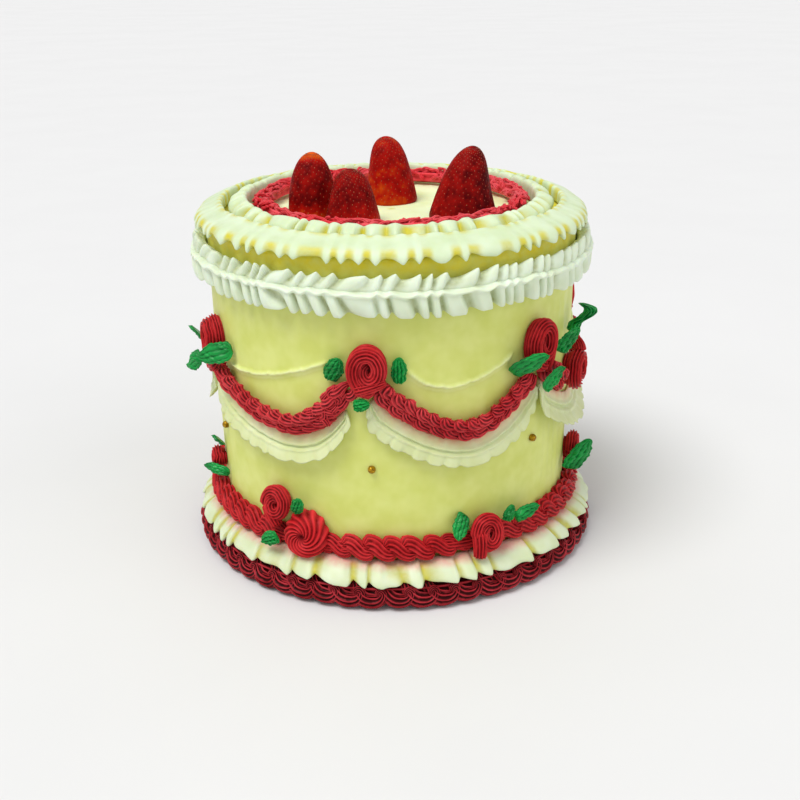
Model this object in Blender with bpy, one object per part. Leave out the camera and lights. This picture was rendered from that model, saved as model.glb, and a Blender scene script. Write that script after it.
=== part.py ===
import math

import bpy
import bmesh

# Round two-layer celebration cake, piped all over in the old English over-piped style.
# Lengths below are in millimetres and angles in degrees; every mesh is written in metres.
# +Z is up, the cake stands on z = 0, and angle 0 is the front of the cake, on the -Y side.

MM = 0.001
CLEAR = 0.35

# Cake body
BODY_R_BASE = 99.6
BODY_R_TOP = 100.5
BODY_TOP = 184.0
BODY_SIDES = 48

# Rings of piping on top
RIM_WAVES = 62
INNER_WAVES = 50
TOP_SHELLS = 36

# Double frill round the upper side
SIDE_TEETH = 76

# Rings of piping at the foot
FOOT_STROKES = 52
FOOT_FOLDS = 52
FOOT_SHELLS = 56

# Angle and height of each upper rose centre; each garland hangs between two of them.
ROSE_ANGLES = [-67.0, -6.6, 46.0, 106.6, 168.8, 230.9]
ROSE_HEIGHTS = [124.0, 129.0, 131.0, 128.0, 129.0, 127.5]
ROSE_HALF_W = 12.0
ROSE_HALF_H = 15.0
ROSE_DEEP = 10.5

# Garland strokes
GARLAND_HALF = 6.9
GARLAND_DEEP = 9.6
STROKE_PITCH = 8.8
FOLD_PITCH = 8.8

GOLD_BALL_R = 2.1
GOLD_BALL_Z = [73.6, 74.2, 76.9, 75.0, 74.0, 75.5]


def make_material(name, rgb, roughness):
    mat = bpy.data.materials.new(name)
    mat.use_nodes = True
    shader = mat.node_tree.nodes["Principled BSDF"]
    shader.inputs["Base Color"].default_value = (rgb[0], rgb[1], rgb[2], 1.0)
    shader.inputs["Roughness"].default_value = roughness
    mat.diffuse_color = (rgb[0], rgb[1], rgb[2], 1.0)
    return mat


def make_object(name, verts, faces, material, smooth=False):
    mesh = bpy.data.meshes.new(name)
    mesh.from_pydata([(x * MM, y * MM, z * MM) for x, y, z in verts], [], faces)
    work = bmesh.new()
    work.from_mesh(mesh)
    bmesh.ops.recalc_face_normals(work, faces=work.faces[:])
    bmesh.ops.triangulate(work, faces=work.faces[:])
    work.to_mesh(mesh)
    work.free()
    for polygon in mesh.polygons:
        polygon.use_smooth = smooth
    obj = bpy.data.objects.new(name, mesh)
    bpy.context.collection.objects.link(obj)
    obj.data.materials.append(material)
    return obj


def around(angle, radius, z):
    """A point at an angle round the cake, from the front towards +X."""
    a = math.radians(angle)
    return (radius * math.sin(a), -radius * math.cos(a), z)


def body_radius(z):
    return BODY_R_BASE + (BODY_R_TOP - BODY_R_BASE) * z / BODY_TOP


def on_side(angle, u, v_z, height):
    """A point u along the curved side from an angle, at height z, and so far out from the icing."""
    turned = angle + math.degrees(u / 100.0)
    return around(turned, body_radius(v_z) + height, v_z)


def lofted(rings, closed):
    """Vertices and faces through rings of points; an open run gets a middle point in each end."""
    verts = []
    faces = []
    count = len(rings[0])
    for ring in rings:
        verts.extend(ring)
    spans = len(rings) if closed else len(rings) - 1
    for i in range(spans):
        j = (i + 1) % len(rings)
        for k in range(count):
            m = (k + 1) % count
            a = i * count + k
            b = j * count + k
            c = j * count + m
            d = i * count + m
            faces.append((a, b, c))
            faces.append((a, c, d))
    if not closed:
        for first in (0, (len(rings) - 1) * count):
            ring = verts[first:first + count]
            middle = tuple(sum(p[axis] for p in ring) / count for axis in range(3))
            verts.append(middle)
            last = len(verts) - 1
            for k in range(count):
                faces.append((last, first + k, first + (k + 1) % count))
    return verts, faces


def uneven(k, seed):
    """A slow unsteadiness of the hand, between about -1 and 1."""
    first = math.sin(k * 1.7 + seed)
    second = math.sin(k * 0.61 + 2.3 * seed)
    return 0.6 * first + 0.4 * second


def ring_object(name, material, waves, high, low, seed, wobble, dips=()):
    """A piped ring: its outline swings between the crest outline and the valley outline."""
    rings = []
    total = waves * 2
    for i in range(total):
        angle = 360.0 * (i + 0.18 * uneven(i, seed)) / total
        outline = high if i % 2 == 0 else low
        swell = wobble * uneven(i * 0.5, seed + 1.0)
        keep = 1.0
        for centre, half in dips:
            away = abs((angle - centre + 180.0) % 360.0 - 180.0)
            if away < half:
                keep = 0.2
        ring = []
        inner = min(p[0] for p in outline)
        for r, z, moves in outline:
            radius = r + swell * moves
            radius = inner + (radius - inner) * keep
            lift = 0.5 * swell * moves if z > 0.0 else 0.0
            ring.append(around(angle, radius, z + lift))
        rings.append(ring)
    verts, faces = lofted(rings, True)
    return make_object(name, verts, faces, material)


class Hanging:
    """A curve that hangs on the side between two roses, walked by its length in mm."""

    def __init__(self, angle, start, end, low, low_z, rise_start, rise_end, pow_start, pow_end):
        self.angle = angle
        self.points = []
        steps = 240
        for i in range(steps + 1):
            u = start + (end - start) * i / steps
            if u < low:
                z = low_z + rise_start * ((low - u) / (low - start)) ** pow_start
            else:
                z = low_z + rise_end * ((u - low) / (end - low)) ** pow_end
            self.points.append((u, z))
        self.marks = [0.0]
        for i in range(steps):
            u0, z0 = self.points[i]
            u1, z1 = self.points[i + 1]
            self.marks.append(self.marks[-1] + math.hypot(u1 - u0, z1 - z0))
        self.length = self.marks[-1]

    def at(self, s):
        """Place on the curve and direction there; past its ends the curve runs on straight."""
        low, high = 0, len(self.marks) - 1
        clamped = min(max(s, 0.0), self.length)
        while high - low > 1:
            middle = (low + high) // 2
            if self.marks[middle] <= clamped:
                low = middle
            else:
                high = middle
        u0, z0 = self.points[low]
        u1, z1 = self.points[low + 1]
        step = self.marks[low + 1] - self.marks[low]
        t = (clamped - self.marks[low]) / step
        du, dz = (u1 - u0) / step, (z1 - z0) / step
        spare = s - clamped
        return u0 + (u1 - u0) * t + du * spare, z0 + (z1 - z0) * t + dz * spare, du, dz

    def place(self, s, n, h):
        """A point s along, n mm to the lower side and h mm out from the icing."""
        u, z, du, dz = self.at(s)
        return on_side(self.angle, u + dz * n, z - du * n, h)


def garland(name, material, curve, first, last, seed):
    """Slanting strokes laid over one another along a hanging curve."""
    strokes = max(2, round((last - first) / STROKE_PITCH))
    total = strokes * 2
    rings = []
    for i in range(total + 1):
        s = first + (last - first) * i / total
        full = 1.0 if i % 2 == 0 else 0.0
        wide = GARLAND_HALF - 0.7 * (1.0 - full) + 0.3 * uneven(i, seed)
        tall = GARLAND_DEEP - 1.6 * (1.0 - full) + 0.4 * uneven(i, seed + 2.0)
        if i == 0 or i == total:
            wide = wide * 0.8
            tall = tall * 0.7
        slant = 0.35
        outline = [(-wide, CLEAR), (wide, CLEAR), (wide * 0.9, tall * 0.62), (0.0, tall),
                   (-wide * 0.9, tall * 0.62)]
        rings.append([curve.place(s + slant * n, n, h) for n, h in outline])
    verts, faces = lofted(rings, False)
    return make_object(name, verts, faces, material)


def frill(name, material, curve, first, last, width_first, width_full, width_last, stand, seed):
    """A folded ribbon of icing that hangs below a garland; its lower edge stands off the side."""
    folds = max(3, round((last - first) / FOLD_PITCH))
    total = folds * 2
    top = GARLAND_HALF + 0.75
    rings = []
    for i in range(total + 1):
        part = i / total
        s = first + (last - first) * part
        full = 1.0 if i % 2 == 0 else 0.0
        near = min(1.0, part / 0.22)
        far = min(1.0, (1.0 - part) / 0.22)
        width = min(width_first + (width_full - width_first) * near,
                    width_last + (width_full - width_last) * far)
        edge = width + 0.5 * full + 0.3 * uneven(i, seed)
        flare = stand * (0.5 + 0.5 * min(near, far)) - 1.3 + 2.6 * full + 0.4 * uneven(i, seed + 1.0)
        outline = [(top, CLEAR), (top + width * 0.62, CLEAR + 0.15 * flare), (top + edge, flare),
                   (top + width * 0.45, 2.9 + 0.42 * flare), (top + 0.3, 4.0)]
        rings.append([curve.place(s, n, h) for n, h in outline])
    verts, faces = lofted(rings, False)
    return make_object(name, verts, faces, material)


def rosette(name, material, angle, z, half_w, half_h, deep, tail=(0.0, 0.0), lean=0.0, foot=0.0,
            twist=0.0):
    """A rose piped in one spiral: a raised coil with a sunken eye, oval seen from the front.

    The tail is a direction in degrees and a length where the last stroke runs off. The foot and
    lean set its back surface off the icing, where it lies over another ring of piping."""
    sides = 10
    levels = [(1.0, 0.0), (1.0, 0.38), (0.78, 0.90), (0.42, 1.0)]
    rings = []

    def back(v):
        return CLEAR + max(0.0, foot - lean * v)

    for share, rise in levels:
        ring = []
        for k in range(sides):
            turn = 2.0 * math.pi * k / sides
            away = (math.degrees(turn) - tail[0] + 180.0) % 360.0 - 180.0
            longer = tail[1] * math.exp(-((away / 24.0) ** 2))
            slope = math.radians(twist)
            cu = half_w * share * math.cos(turn)
            cv = half_h * share * math.sin(turn)
            u = cu * math.cos(slope) - cv * math.sin(slope)
            v = cu * math.sin(slope) + cv * math.cos(slope)
            u += longer * share * math.cos(turn)
            v += longer * share * math.sin(turn)
            groove = 0.0
            if rise > 0.5:
                groove = 0.7 * math.sin(turn - 5.0 * share)
            drop = 0.35 * longer / max(half_h, 1.0) * rise * deep
            ring.append(on_side(angle, u, z + v, back(v) + rise * deep + groove - drop))
        rings.append(ring)
    verts = []
    for ring in rings:
        verts.extend(ring)
    faces = []
    for i in range(len(rings) - 1):
        for k in range(sides):
            m = (k + 1) % sides
            faces.append((i * sides + k, (i + 1) * sides + k, (i + 1) * sides + m, i * sides + m))
    verts.append(on_side(angle, 0.0, z, back(0.0)))
    verts.append(on_side(angle, 0.0, z, back(0.0) + 0.76 * deep))
    low = len(verts) - 2
    eye = len(verts) - 1
    top = (len(rings) - 1) * sides
    for k in range(sides):
        m = (k + 1) % sides
        faces.append((low, k, m))
        faces.append((eye, top + k, top + m))
    return make_object(name, verts, faces, material)


def leaf(name, material, angle, z, heading, length, width, start, lift, power, roll):
    """A leaf drawn from a cut bag: a thin ridged tongue that ends in a point.

    Roll turns its face about its length, so that its right edge stands out from the icing."""
    rows = [(0.0, 0.80), (0.36, 1.0), (0.72, 0.72)]
    thick = 1.5
    wave = 0.8
    c = math.cos(math.radians(heading))
    s = math.sin(math.radians(heading))
    cr = math.cos(math.radians(roll))
    sr = math.sin(math.radians(roll))

    def point(along, across, rise, above):
        left = across * cr + above * sr
        height = rise - across * sr + above * cr
        return on_side(angle, along * c - left * s, z + along * s + left * c, height)

    lower = []
    upper = []
    for i, (part, share) in enumerate(rows):
        rise = start + lift * part ** power
        for side in (-1, 0, 1):
            across = side * width * 0.5 * share
            bend = wave * (1.0 if (i + side) % 2 == 0 else 0.2) + 0.8 * abs(side)
            lower.append(point(length * part, across, rise, bend))
            upper.append(point(length * part, across, rise, bend + thick))
    rise = start + lift
    lower.append(point(length, 0.0, rise, 0.4))
    upper.append(point(length, 0.0, rise, 1.1))
    verts = lower + upper
    step = len(lower)
    faces = []
    for i in range(len(rows) - 1):
        for k in range(2):
            a = i * 3 + k
            faces.append((a, a + 1, a + 4))
            faces.append((a, a + 4, a + 3))
            faces.append((step + a, step + a + 4, step + a + 1))
            faces.append((step + a, step + a + 3, step + a + 4))
    last = (len(rows) - 1) * 3
    tip = step - 1
    for k in range(2):
        faces.append((last + k, last + k + 1, tip))
        faces.append((step + last + k, step + tip, step + last + k + 1))
    edge = [0, 1, 2, 5, 8, tip, 6, 3]
    for k in range(len(edge)):
        a = edge[k]
        b = edge[(k + 1) % len(edge)]
        faces.append((a, b, step + b))
        faces.append((a, step + b, step + a))
    return make_object(name, verts, faces, material)


def strawberry(name, material, x, y, width, tall, lean, taper, power):
    """A strawberry with its green end cut off, standing on the cut with its point up.

    Taper is how much of its width it loses on the way up, and power how late it rounds off."""
    sides = 11
    floor = BODY_TOP + CLEAR
    rings = []
    for part in (0.0, 0.12, 0.32, 0.52, 0.72, 0.87, 0.955):
        share = (1.0 - taper * part) * math.sqrt(1.0 - part ** power)
        if part == 0.0:
            share = 0.97
        ring = []
        for k in range(sides):
            turn = 2.0 * math.pi * k / sides
            radius = 0.5 * width * share * (1.0 + 0.03 * math.sin(2.0 * turn + x))
            px = x + radius * math.cos(turn) + lean[0] * part * part
            py = y + radius * math.sin(turn) + lean[1] * part * part
            ring.append((px, py, floor + tall * part))
        rings.append(ring)
    verts = []
    for ring in rings:
        verts.extend(ring)
    faces = []
    for i in range(len(rings) - 1):
        for k in range(sides):
            m = (k + 1) % sides
            faces.append((i * sides + k, i * sides + m, (i + 1) * sides + m, (i + 1) * sides + k))
    verts.append((x, y, floor))
    verts.append((x + lean[0], y + lean[1], floor + tall))
    low = len(verts) - 2
    tip = len(verts) - 1
    top = (len(rings) - 1) * sides
    for k in range(sides):
        m = (k + 1) % sides
        faces.append((low, m, k))
        faces.append((top + k, top + m, tip))
    return make_object(name, verts, faces, material, smooth=True)


def cake_body(material, drapes):
    """The iced cake itself, with the lips of the yellow drapes and the gold balls on its side."""
    outline = [(98.4, 0.0), (BODY_R_BASE, 1.3), (body_radius(180.0), 180.0), (99.0, 182.6),
               (96.6, BODY_TOP)]
    rings = []
    for r, z in outline:
        rings.append([around(360.0 * k / BODY_SIDES, r, z) for k in range(BODY_SIDES)])
    verts = []
    for ring in rings:
        verts.extend(ring)
    faces = [tuple(range(BODY_SIDES))]
    for i in range(len(rings) - 1):
        for k in range(BODY_SIDES):
            m = (k + 1) % BODY_SIDES
            a = i * BODY_SIDES
            b = (i + 1) * BODY_SIDES
            faces.append((a + k, a + m, b + m, b + k))
    top = (len(rings) - 1) * BODY_SIDES
    faces.append(tuple(range(top, top + BODY_SIDES)))
    body = make_object("cake_body", verts, faces, material, smooth=True)

    relief = bpy.data.collections.new("relief")
    bpy.context.scene.collection.children.link(relief)
    for i, (curve, skirt_first, skirt) in enumerate(drapes):
        rings = []
        stations = 8
        for k in range(stations + 1):
            s = curve.length * k / stations
            full = 1.0 if 0 < k < stations else 0.55
            down = min(skirt, skirt_first + 2.4 * skirt * k / stations)
            outline = [(-0.8, -1.2), (down, -1.2), (down, -0.3), (1.0, 2.0 * full), (-0.8, 1.5 * full)]
            rings.append([curve.place(s, n, h) for n, h in outline])
        verts, faces = lofted(rings, False)
        lip = make_object(f"lip_{i}", verts, faces, material)
        bpy.context.collection.objects.unlink(lip)
        relief.objects.link(lip)
    for i, angle in enumerate(ROSE_ANGLES):
        ball = bmesh.new()
        bmesh.ops.create_icosphere(ball, subdivisions=1, radius=GOLD_BALL_R * MM)
        shift = on_side(angle, 0.0, GOLD_BALL_Z[i], 1.2)
        for vert in ball.verts:
            for axis in range(3):
                vert.co[axis] += shift[axis] * MM
        mesh = bpy.data.meshes.new(f"ball_{i}")
        ball.to_mesh(mesh)
        ball.free()
        obj = bpy.data.objects.new(f"ball_{i}", mesh)
        obj.data.materials.append(material)
        relief.objects.link(obj)
    union = body.modifiers.new("relief", "BOOLEAN")
    union.operation = "UNION"
    union.operand_type = "COLLECTION"
    union.collection = relief
    union.solver = "EXACT"
    bpy.context.view_layer.objects.active = body
    bpy.context.view_layer.update()
    graph = bpy.context.evaluated_depsgraph_get()
    merged = bpy.data.meshes.new_from_object(body.evaluated_get(graph))
    body.modifiers.clear()
    old = body.data
    body.data = merged
    bpy.data.meshes.remove(old)
    for obj in list(relief.objects):
        bpy.data.objects.remove(obj, do_unlink=True)
    bpy.data.collections.remove(relief)
    return body


def build():
    for obj in list(bpy.data.objects):
        bpy.data.objects.remove(obj, do_unlink=True)

    yellow = make_material("yellow_icing", (0.66, 0.70, 0.30), 0.55)
    white = make_material("white_icing", (0.78, 0.84, 0.66), 0.55)
    red = make_material("red_icing", (0.45, 0.02, 0.02), 0.5)
    green = make_material("green_icing", (0.02, 0.28, 0.06), 0.5)
    flesh = make_material("strawberry_flesh", (0.30, 0.01, 0.01), 0.35)

    # The lips of the drapes: angle, start, end, lowest place, its height, rises and bends,
    # then how far down each one fades out, at its start and further on.
    drapes = [
        (Hanging(-67.0, 17.0, 76.0, 25.0, 115.2, 0.4, 12.6, 2.0, 1.7), 1.5, 6.0),
        (Hanging(-6.6, 21.5, 68.0, 40.0, 117.6, 7.0, 8.0, 2.2, 1.7), 4.0, 7.0),
        (Hanging(44.5, 20.0, 88.0, 48.0, 121.2, 5.0, 6.0, 2.0, 1.8), 3.0, 3.0),
        (Hanging(106.6, 18.5, 88.0, 54.0, 117.0, 9.0, 10.0, 2.0, 1.8), 4.0, 7.0),
        (Hanging(168.8, 18.5, 88.0, 50.0, 118.0, 10.0, 9.0, 2.0, 1.9), 4.0, 7.0),
        (Hanging(230.9, 18.5, 88.0, 52.0, 116.5, 9.0, 8.0, 2.0, 1.8), 4.0, 7.0),
    ]
    cake_body(yellow, drapes)

    # Piping on top: each outline point is radius, height and how much the hand moves it.
    ring_object("rim_ruffle", white, RIM_WAVES,
                [(91.0, 184.4, 0), (101.4, 184.5, 0), (106.4, 180.8, 1), (107.0, 182.4, 1),
                 (102.6, 188.4, 0.5), (91.4, 192.8, 0.5)],
                [(91.0, 184.4, 0), (101.4, 184.5, 0), (102.7, 185.0, 0.5), (103.3, 186.8, 0.5),
                 (101.6, 189.2, 0.5), (92.4, 191.0, 0.5)],
                0.4, 0.4)
    ring_object("inner_ruffle", white, INNER_WAVES,
                [(77.6, 184.4, 0), (84.0, 184.4, 0), (88.2, 190.8, 1), (79.4, 195.0, 0.5)],
                [(77.6, 184.4, 0), (82.0, 184.4, 0), (83.2, 189.0, 1), (79.2, 193.6, 0.5)],
                1.9, 0.5)
    ring_object("top_red_shells", red, TOP_SHELLS,
                [(62.0, 184.4, 0), (76.8, 184.4, 0), (76.4, 191.0, 0), (69.4, 196.2, 0.5),
                 (62.6, 190.4, 0)],
                [(62.8, 184.4, 0), (75.8, 184.4, 0), (75.0, 189.6, 0), (68.8, 193.6, 0.5),
                 (63.8, 189.2, 0)],
                3.1, 0.6)
    ring_object("side_ruffle", white, SIDE_TEETH,
                [(101.1, 160.6, 0), (108.6, 155.8, 0.5), (111.0, 168.4, 0), (107.9, 177.8, 0),
                 (101.1, 173.6, 0)],
                [(101.1, 160.6, 0), (105.8, 157.4, 0.5), (109.8, 168.6, 0), (105.6, 174.6, 0),
                 (101.1, 173.6, 0)],
                2.2, 0.5)

    # Piping at the foot.
    under = [(-26.1, 8.5), (25.3, 8.5), (146.0, 8.5), (214.0, 8.5)]
    ring_object("foot_red_ruffle", red, FOOT_STROKES,
                [(101.2, 0.0, 0), (115.6, 0.0, 0.5), (117.4, 4.6, 0.5), (114.6, 12.2, 0.3),
                 (101.2, 16.2, 0)],
                [(101.2, 0.0, 0), (112.6, 0.0, 0.5), (113.8, 4.2, 0.5), (110.6, 11.0, 0.3),
                 (101.2, 15.4, 0)],
                0.9, 0.5)
    ring_object("foot_white_ruffle", white, FOOT_FOLDS,
                [(101.2, 16.8, 0), (109.4, 15.8, 0), (115.2, 12.9, 0.4), (115.8, 14.8, 0.4),
                 (103.4, 24.2, 0)],
                [(101.2, 16.8, 0), (108.4, 16.2, 0), (111.0, 16.8, 0.4), (111.6, 18.8, 0.4),
                 (103.4, 24.2, 0)],
                2.7, 0.5)
    ring_object("foot_red_shells", red, FOOT_SHELLS,
                [(101.2, 24.8, 0), (109.0, 24.8, 0.3), (111.2, 29.4, 0.5), (104.8, 35.6, 0.4)],
                [(101.2, 24.8, 0), (107.4, 24.8, 0.3), (108.8, 28.6, 0.5), (104.2, 33.8, 0.4)],
                1.3, 0.4, dips=under)

    # Strawberries: place, width, height, how their points lean, taper and power.
    berries = [
        (-42.2, -12.0, 26.4, 33.5, (0.5, 1.0), 0.15, 3.2),
        (-20.0, -32.6, 31.2, 28.4, (-1.0, 0.5), 0.48, 8.0),
        (0.0, 21.0, 30.4, 36.0, (-2.5, 1.0), 0.45, 8.0),
        (37.9, -21.8, 37.5, 37.4, (4.6, 0.5), 0.60, 8.0),
    ]
    for i, values in enumerate(berries):
        strawberry(f"strawberry_{i + 1}", flesh, *values)

    # Red garlands and the white frills below them. A span is the used share of its curve; a hem
    # has its share, its width at the start, full and at the end, and how far it stands off.
    curves = [
        Hanging(-67.0, 6.0, 96.0, 60.0, 95.6, 14.5, 26.5, 1.5, 2.3),
        Hanging(-6.6, 9.1, 83.2, 50.0, 94.4, 20.7, 19.7, 1.8, 1.6),
        Hanging(44.5, 9.1, 99.3, 54.0, 94.6, 20.5, 19.0, 1.8, 1.8),
        Hanging(106.6, 9.1, 99.5, 54.0, 94.0, 20.0, 21.0, 1.8, 1.8),
        Hanging(168.8, 9.1, 99.3, 52.0, 95.2, 20.5, 19.0, 1.8, 1.8),
        Hanging(230.9, 9.1, 98.0, 54.0, 94.5, 20.0, 17.5, 1.8, 1.8),
    ]
    spans = [(0.06, 0.9), (0.0, 1.0), (0.56, 1.0), (0.0, 1.0), (0.0, 1.0), (0.0, 1.0)]
    hems = [(0.02, 0.86, 12.6, 12.6, 4.5, 6.6), (0.0, 1.0, 12.6, 12.6, 10.0, 5.0),
            (0.11, 0.95, 12.6, 15.0, 9.0, 10.0), (0.03, 0.95, 10.0, 12.6, 9.0, 6.0),
            (0.03, 0.95, 10.0, 12.6, 9.0, 6.0), (0.03, 0.97, 10.0, 12.6, 9.0, 6.0)]
    for i, curve in enumerate(curves):
        first, last = spans[i]
        garland(f"red_garland_{i + 1}", red, curve, curve.length * first, curve.length * last, 1.0 + i)
        first, last, wide_first, wide, wide_last, stand = hems[i]
        frill(f"white_frill_{i + 1}", white, curve, curve.length * first, curve.length * last,
              wide_first, wide, wide_last, stand, 2.0 + i)
    garland("red_garland_7", red, curves[2], 2.2, curves[2].length * 0.2, 8.0)

    # Roses between the garlands, and one more on the third garland.
    tails = [(-80.0, 2.0), (-60.0, 2.0), (-75.0, 3.0), (-60.0, 2.0), (-60.0, 2.0), (-80.0, 2.0)]
    for i, angle in enumerate(ROSE_ANGLES):
        rosette(f"rose_{i + 1}", red, angle, ROSE_HEIGHTS[i], ROSE_HALF_W, ROSE_HALF_H, ROSE_DEEP,
                tail=tails[i])
    rosette("rose_7", red, 69.0, 105.6, 12.0, 11.6, 12.0)

    # Roses along the foot; those low down lie over the ring of red shells.
    rosette("foot_rose_1", red, -36.1, 47.8, 9.8, 10.6, 9.5, lean=0.25, foot=1.2)
    rosette("foot_rose_2", red, -26.3, 34.9, 11.2, 11.4, 9.6, lean=0.2, foot=3.6)
    rosette("foot_rose_3", red, 26.4, 34.9, 9.8, 12.4, 9.6, lean=0.2, foot=3.6)
    rosette("foot_rose_4", red, 78.0, 50.5, 9.0, 10.0, 9.5)
    rosette("foot_rose_5", red, -75.0, 48.2, 7.6, 7.8, 9.0)
    rosette("foot_rose_6", red, 136.5, 49.5, 9.6, 10.4, 9.5)
    rosette("foot_rose_7", red, 146.0, 36.4, 10.4, 10.6, 9.6, lean=0.2, foot=3.6)
    rosette("foot_rose_8", red, 214.0, 36.5, 10.4, 10.6, 9.6, lean=0.2, foot=3.6)

    # Leaves: angle and height where the leaf starts, heading, length and width, then how far off
    # the icing it starts, how far it lifts and how soon, and how much its face is turned.
    leaves = [
        (-18.2, 122.0, 60.0, 14.0, 9.0, CLEAR, 4.0, 1.4, 0.0),
        (2.5, 121.3, 90.0, 14.4, 7.2, CLEAR, 4.0, 1.4, 0.0),
        (-10.4, 110.6, 18.0, 7.5, 6.4, 6.0, 1.0, 1.4, 0.0),
        (34.5, 117.5, 48.0, 19.0, 10.5, 1.2, 13.5, 0.8, 0.0),
        (56.5, 120.0, 58.0, 14.5, 9.5, 3.6, 7.0, 1.2, 25.0),
        (43.8, 108.0, 38.0, 15.0, 8.0, 9.9, 2.0, 1.4, 0.0),
        (67.5, 124.5, 80.0, 18.0, 8.0, 4.0, 9.0, 1.4, 35.0),
        (-54.0, 125.0, 205.0, 16.0, 10.5, 1.5, 13.0, 0.8, 0.0),
        (-77.5, 115.5, 96.0, 10.5, 9.0, 3.0, 9.5, 1.0, 0.0),
        (-69.5, 113.0, 208.0, 13.0, 9.5, 10.4, 5.0, 1.0, 0.0),
        (-29.2, 47.0, 64.0, 10.5, 6.6, 5.4, 3.0, 1.0, 0.0),
        (-33.4, 33.4, 212.0, 10.5, 7.4, 12.1, 0.5, 1.4, 0.0),
        (20.6, 45.4, 228.0, 12.0, 8.6, 1.0, 7.6, 0.9, 0.0),
        (33.5, 38.0, 82.0, 9.5, 6.2, 5.4, 2.0, 1.0, 0.0),
        (69.6, 42.0, 62.0, 18.0, 12.5, 5.2, 9.0, 0.9, 50.0),
        (-73.0, 57.2, 95.0, 6.0, 7.0, 0.5, 5.5, 1.0, 0.0),
        (-67.5, 44.0, 176.0, 12.0, 6.5, 0.8, 10.5, 0.8, 0.0),
        (36.6, 37.4, 22.0, 13.0, 8.4, 5.6, 4.0, 1.0, 0.0),
    ]
    for i, values in enumerate(leaves):
        leaf(f"leaf_{i + 1}", green, *values)


build()
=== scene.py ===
# %% [markdown]
# A tall round cake in the old English over-piped style, uncut. The imported model gives the size and
# the place of every piece. Each step below pipes one kind of piece over it, in the order in which a
# cake is dressed, and the last steps give it light and a camera.

# %% Load the model
import math

import bmesh
import bpy
import numpy as np
from mathutils import Matrix, Vector


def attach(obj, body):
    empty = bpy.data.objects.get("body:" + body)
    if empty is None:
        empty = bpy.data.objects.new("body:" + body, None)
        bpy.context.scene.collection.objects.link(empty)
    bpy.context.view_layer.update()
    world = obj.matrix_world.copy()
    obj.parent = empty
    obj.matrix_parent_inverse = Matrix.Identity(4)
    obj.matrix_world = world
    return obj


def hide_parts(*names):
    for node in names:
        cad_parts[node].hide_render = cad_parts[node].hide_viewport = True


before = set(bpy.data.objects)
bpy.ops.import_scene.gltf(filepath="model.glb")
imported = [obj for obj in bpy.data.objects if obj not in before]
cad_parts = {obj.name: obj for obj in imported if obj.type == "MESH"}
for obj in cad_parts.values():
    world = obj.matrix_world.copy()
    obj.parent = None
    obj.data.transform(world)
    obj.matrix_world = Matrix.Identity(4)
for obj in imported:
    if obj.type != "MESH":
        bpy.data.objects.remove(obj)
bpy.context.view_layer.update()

print("nodes", len(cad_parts))

# %% [markdown]
# All sizes are in millimetres, and only the last step before a mesh is made turns them to metres.
# Angle 0 is the front of the cake, towards -Y, and angles grow towards +X. Pieces on the side could
# be made flat and bent round it by a modifier. Here each is drawn as if the side were unrolled, by a
# distance along it, a height, and how far it stands out, and one function turns that into a place.

# %% Sizes and places on the cake
MM = 0.001
BASE_RADIUS = 99.6
TOP_RADIUS = 100.5
BODY_TOP = 184.0
UNROLL_RADIUS = 100.0


def body_radius(z):
    return BASE_RADIUS + (TOP_RADIUS - BASE_RADIUS) * z / BODY_TOP


def around(angle, radius, z):
    """Points at angles in degrees round the cake, as an array with x, y and z."""
    a = np.radians(angle)
    return np.stack(np.broadcast_arrays(radius * np.sin(a), -radius * np.cos(a), z), axis=-1)


def on_side(angle, u, z, height):
    """Points on the side: u along it from an angle, at height z, standing out from the icing."""
    return around(angle + np.degrees(u / UNROLL_RADIUS), body_radius(z) + height, z)


print("the top is", BODY_TOP, "mm up, and the side", round(2 * math.pi * UNROLL_RADIUS), "mm round")

# %% [markdown]
# Nothing that is piped by hand is even. A noise could shake the finished meshes, but it would part
# edges that meet. So the numbers that lead each stroke wander instead: they are a few sine waves
# added up, with a seed, so that every run gives the same cake.

# %% An unsteady hand
def wander(t, seed, period=1.0):
    """A smooth wave between about -1 and 1 that never quite repeats."""
    draw = np.random.RandomState(seed)
    out = np.zeros_like(np.asarray(t, float))
    for k in range(5):
        rate = (0.55 + 0.62 * k + 0.2 * draw.rand()) / period
        out += math.exp(-0.25 * k) * np.sin(2 * math.pi * (rate * np.asarray(t) + draw.rand()))
    return out / 1.9


def ring_wander(angle, seed, turns=(3, 5, 8, 13, 21)):
    """The same for a closed ring: it meets itself after a full turn."""
    draw = np.random.RandomState(seed)
    out = np.zeros_like(np.asarray(angle, float))
    for k, turn in enumerate(turns):
        out += math.exp(-0.15 * k) * np.sin(np.radians(turn * np.asarray(angle)) + 6.283 * draw.rand())
    return out / 1.9


print("a ring wanders by up to", round(float(ring_wander(np.arange(360.0), 3).max()), 2))

# %% [markdown]
# A material is a tree of nodes. One small function adds a node with its settings and plugs its
# inputs in, so that each material below reads as a list of what it is made of. Colours are written
# as sRGB hex, as in a paint program, and turned to the linear values that a shader wants. Patterns
# read Object coordinates and are given in real millimetres, so a patch has one size on every piece.

# %% Nodes and colours
def linear(hex_colour):
    """An sRGB hex colour as the linear values that a shader wants."""
    out = []
    for k in (1, 3, 5):
        c = int(hex_colour[k:k + 2], 16) / 255.0
        out.append(c / 12.92 if c <= 0.04045 else ((c + 0.055) / 1.055) ** 2.4)
    return (out[0], out[1], out[2], 1.0)


def plug(tree, node, links):
    """Each key is an input's name, or i and its number; each value a socket, a hex or a number."""
    for key, value in links.items():
        socket = node.inputs[int(key[1:]) if key[1:].isdigit() else key.replace("_", " ")]
        if isinstance(value, bpy.types.NodeSocket):
            tree.links.new(value, socket)
        else:
            socket.default_value = linear(value) if str(value)[0] == "#" else value


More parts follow.
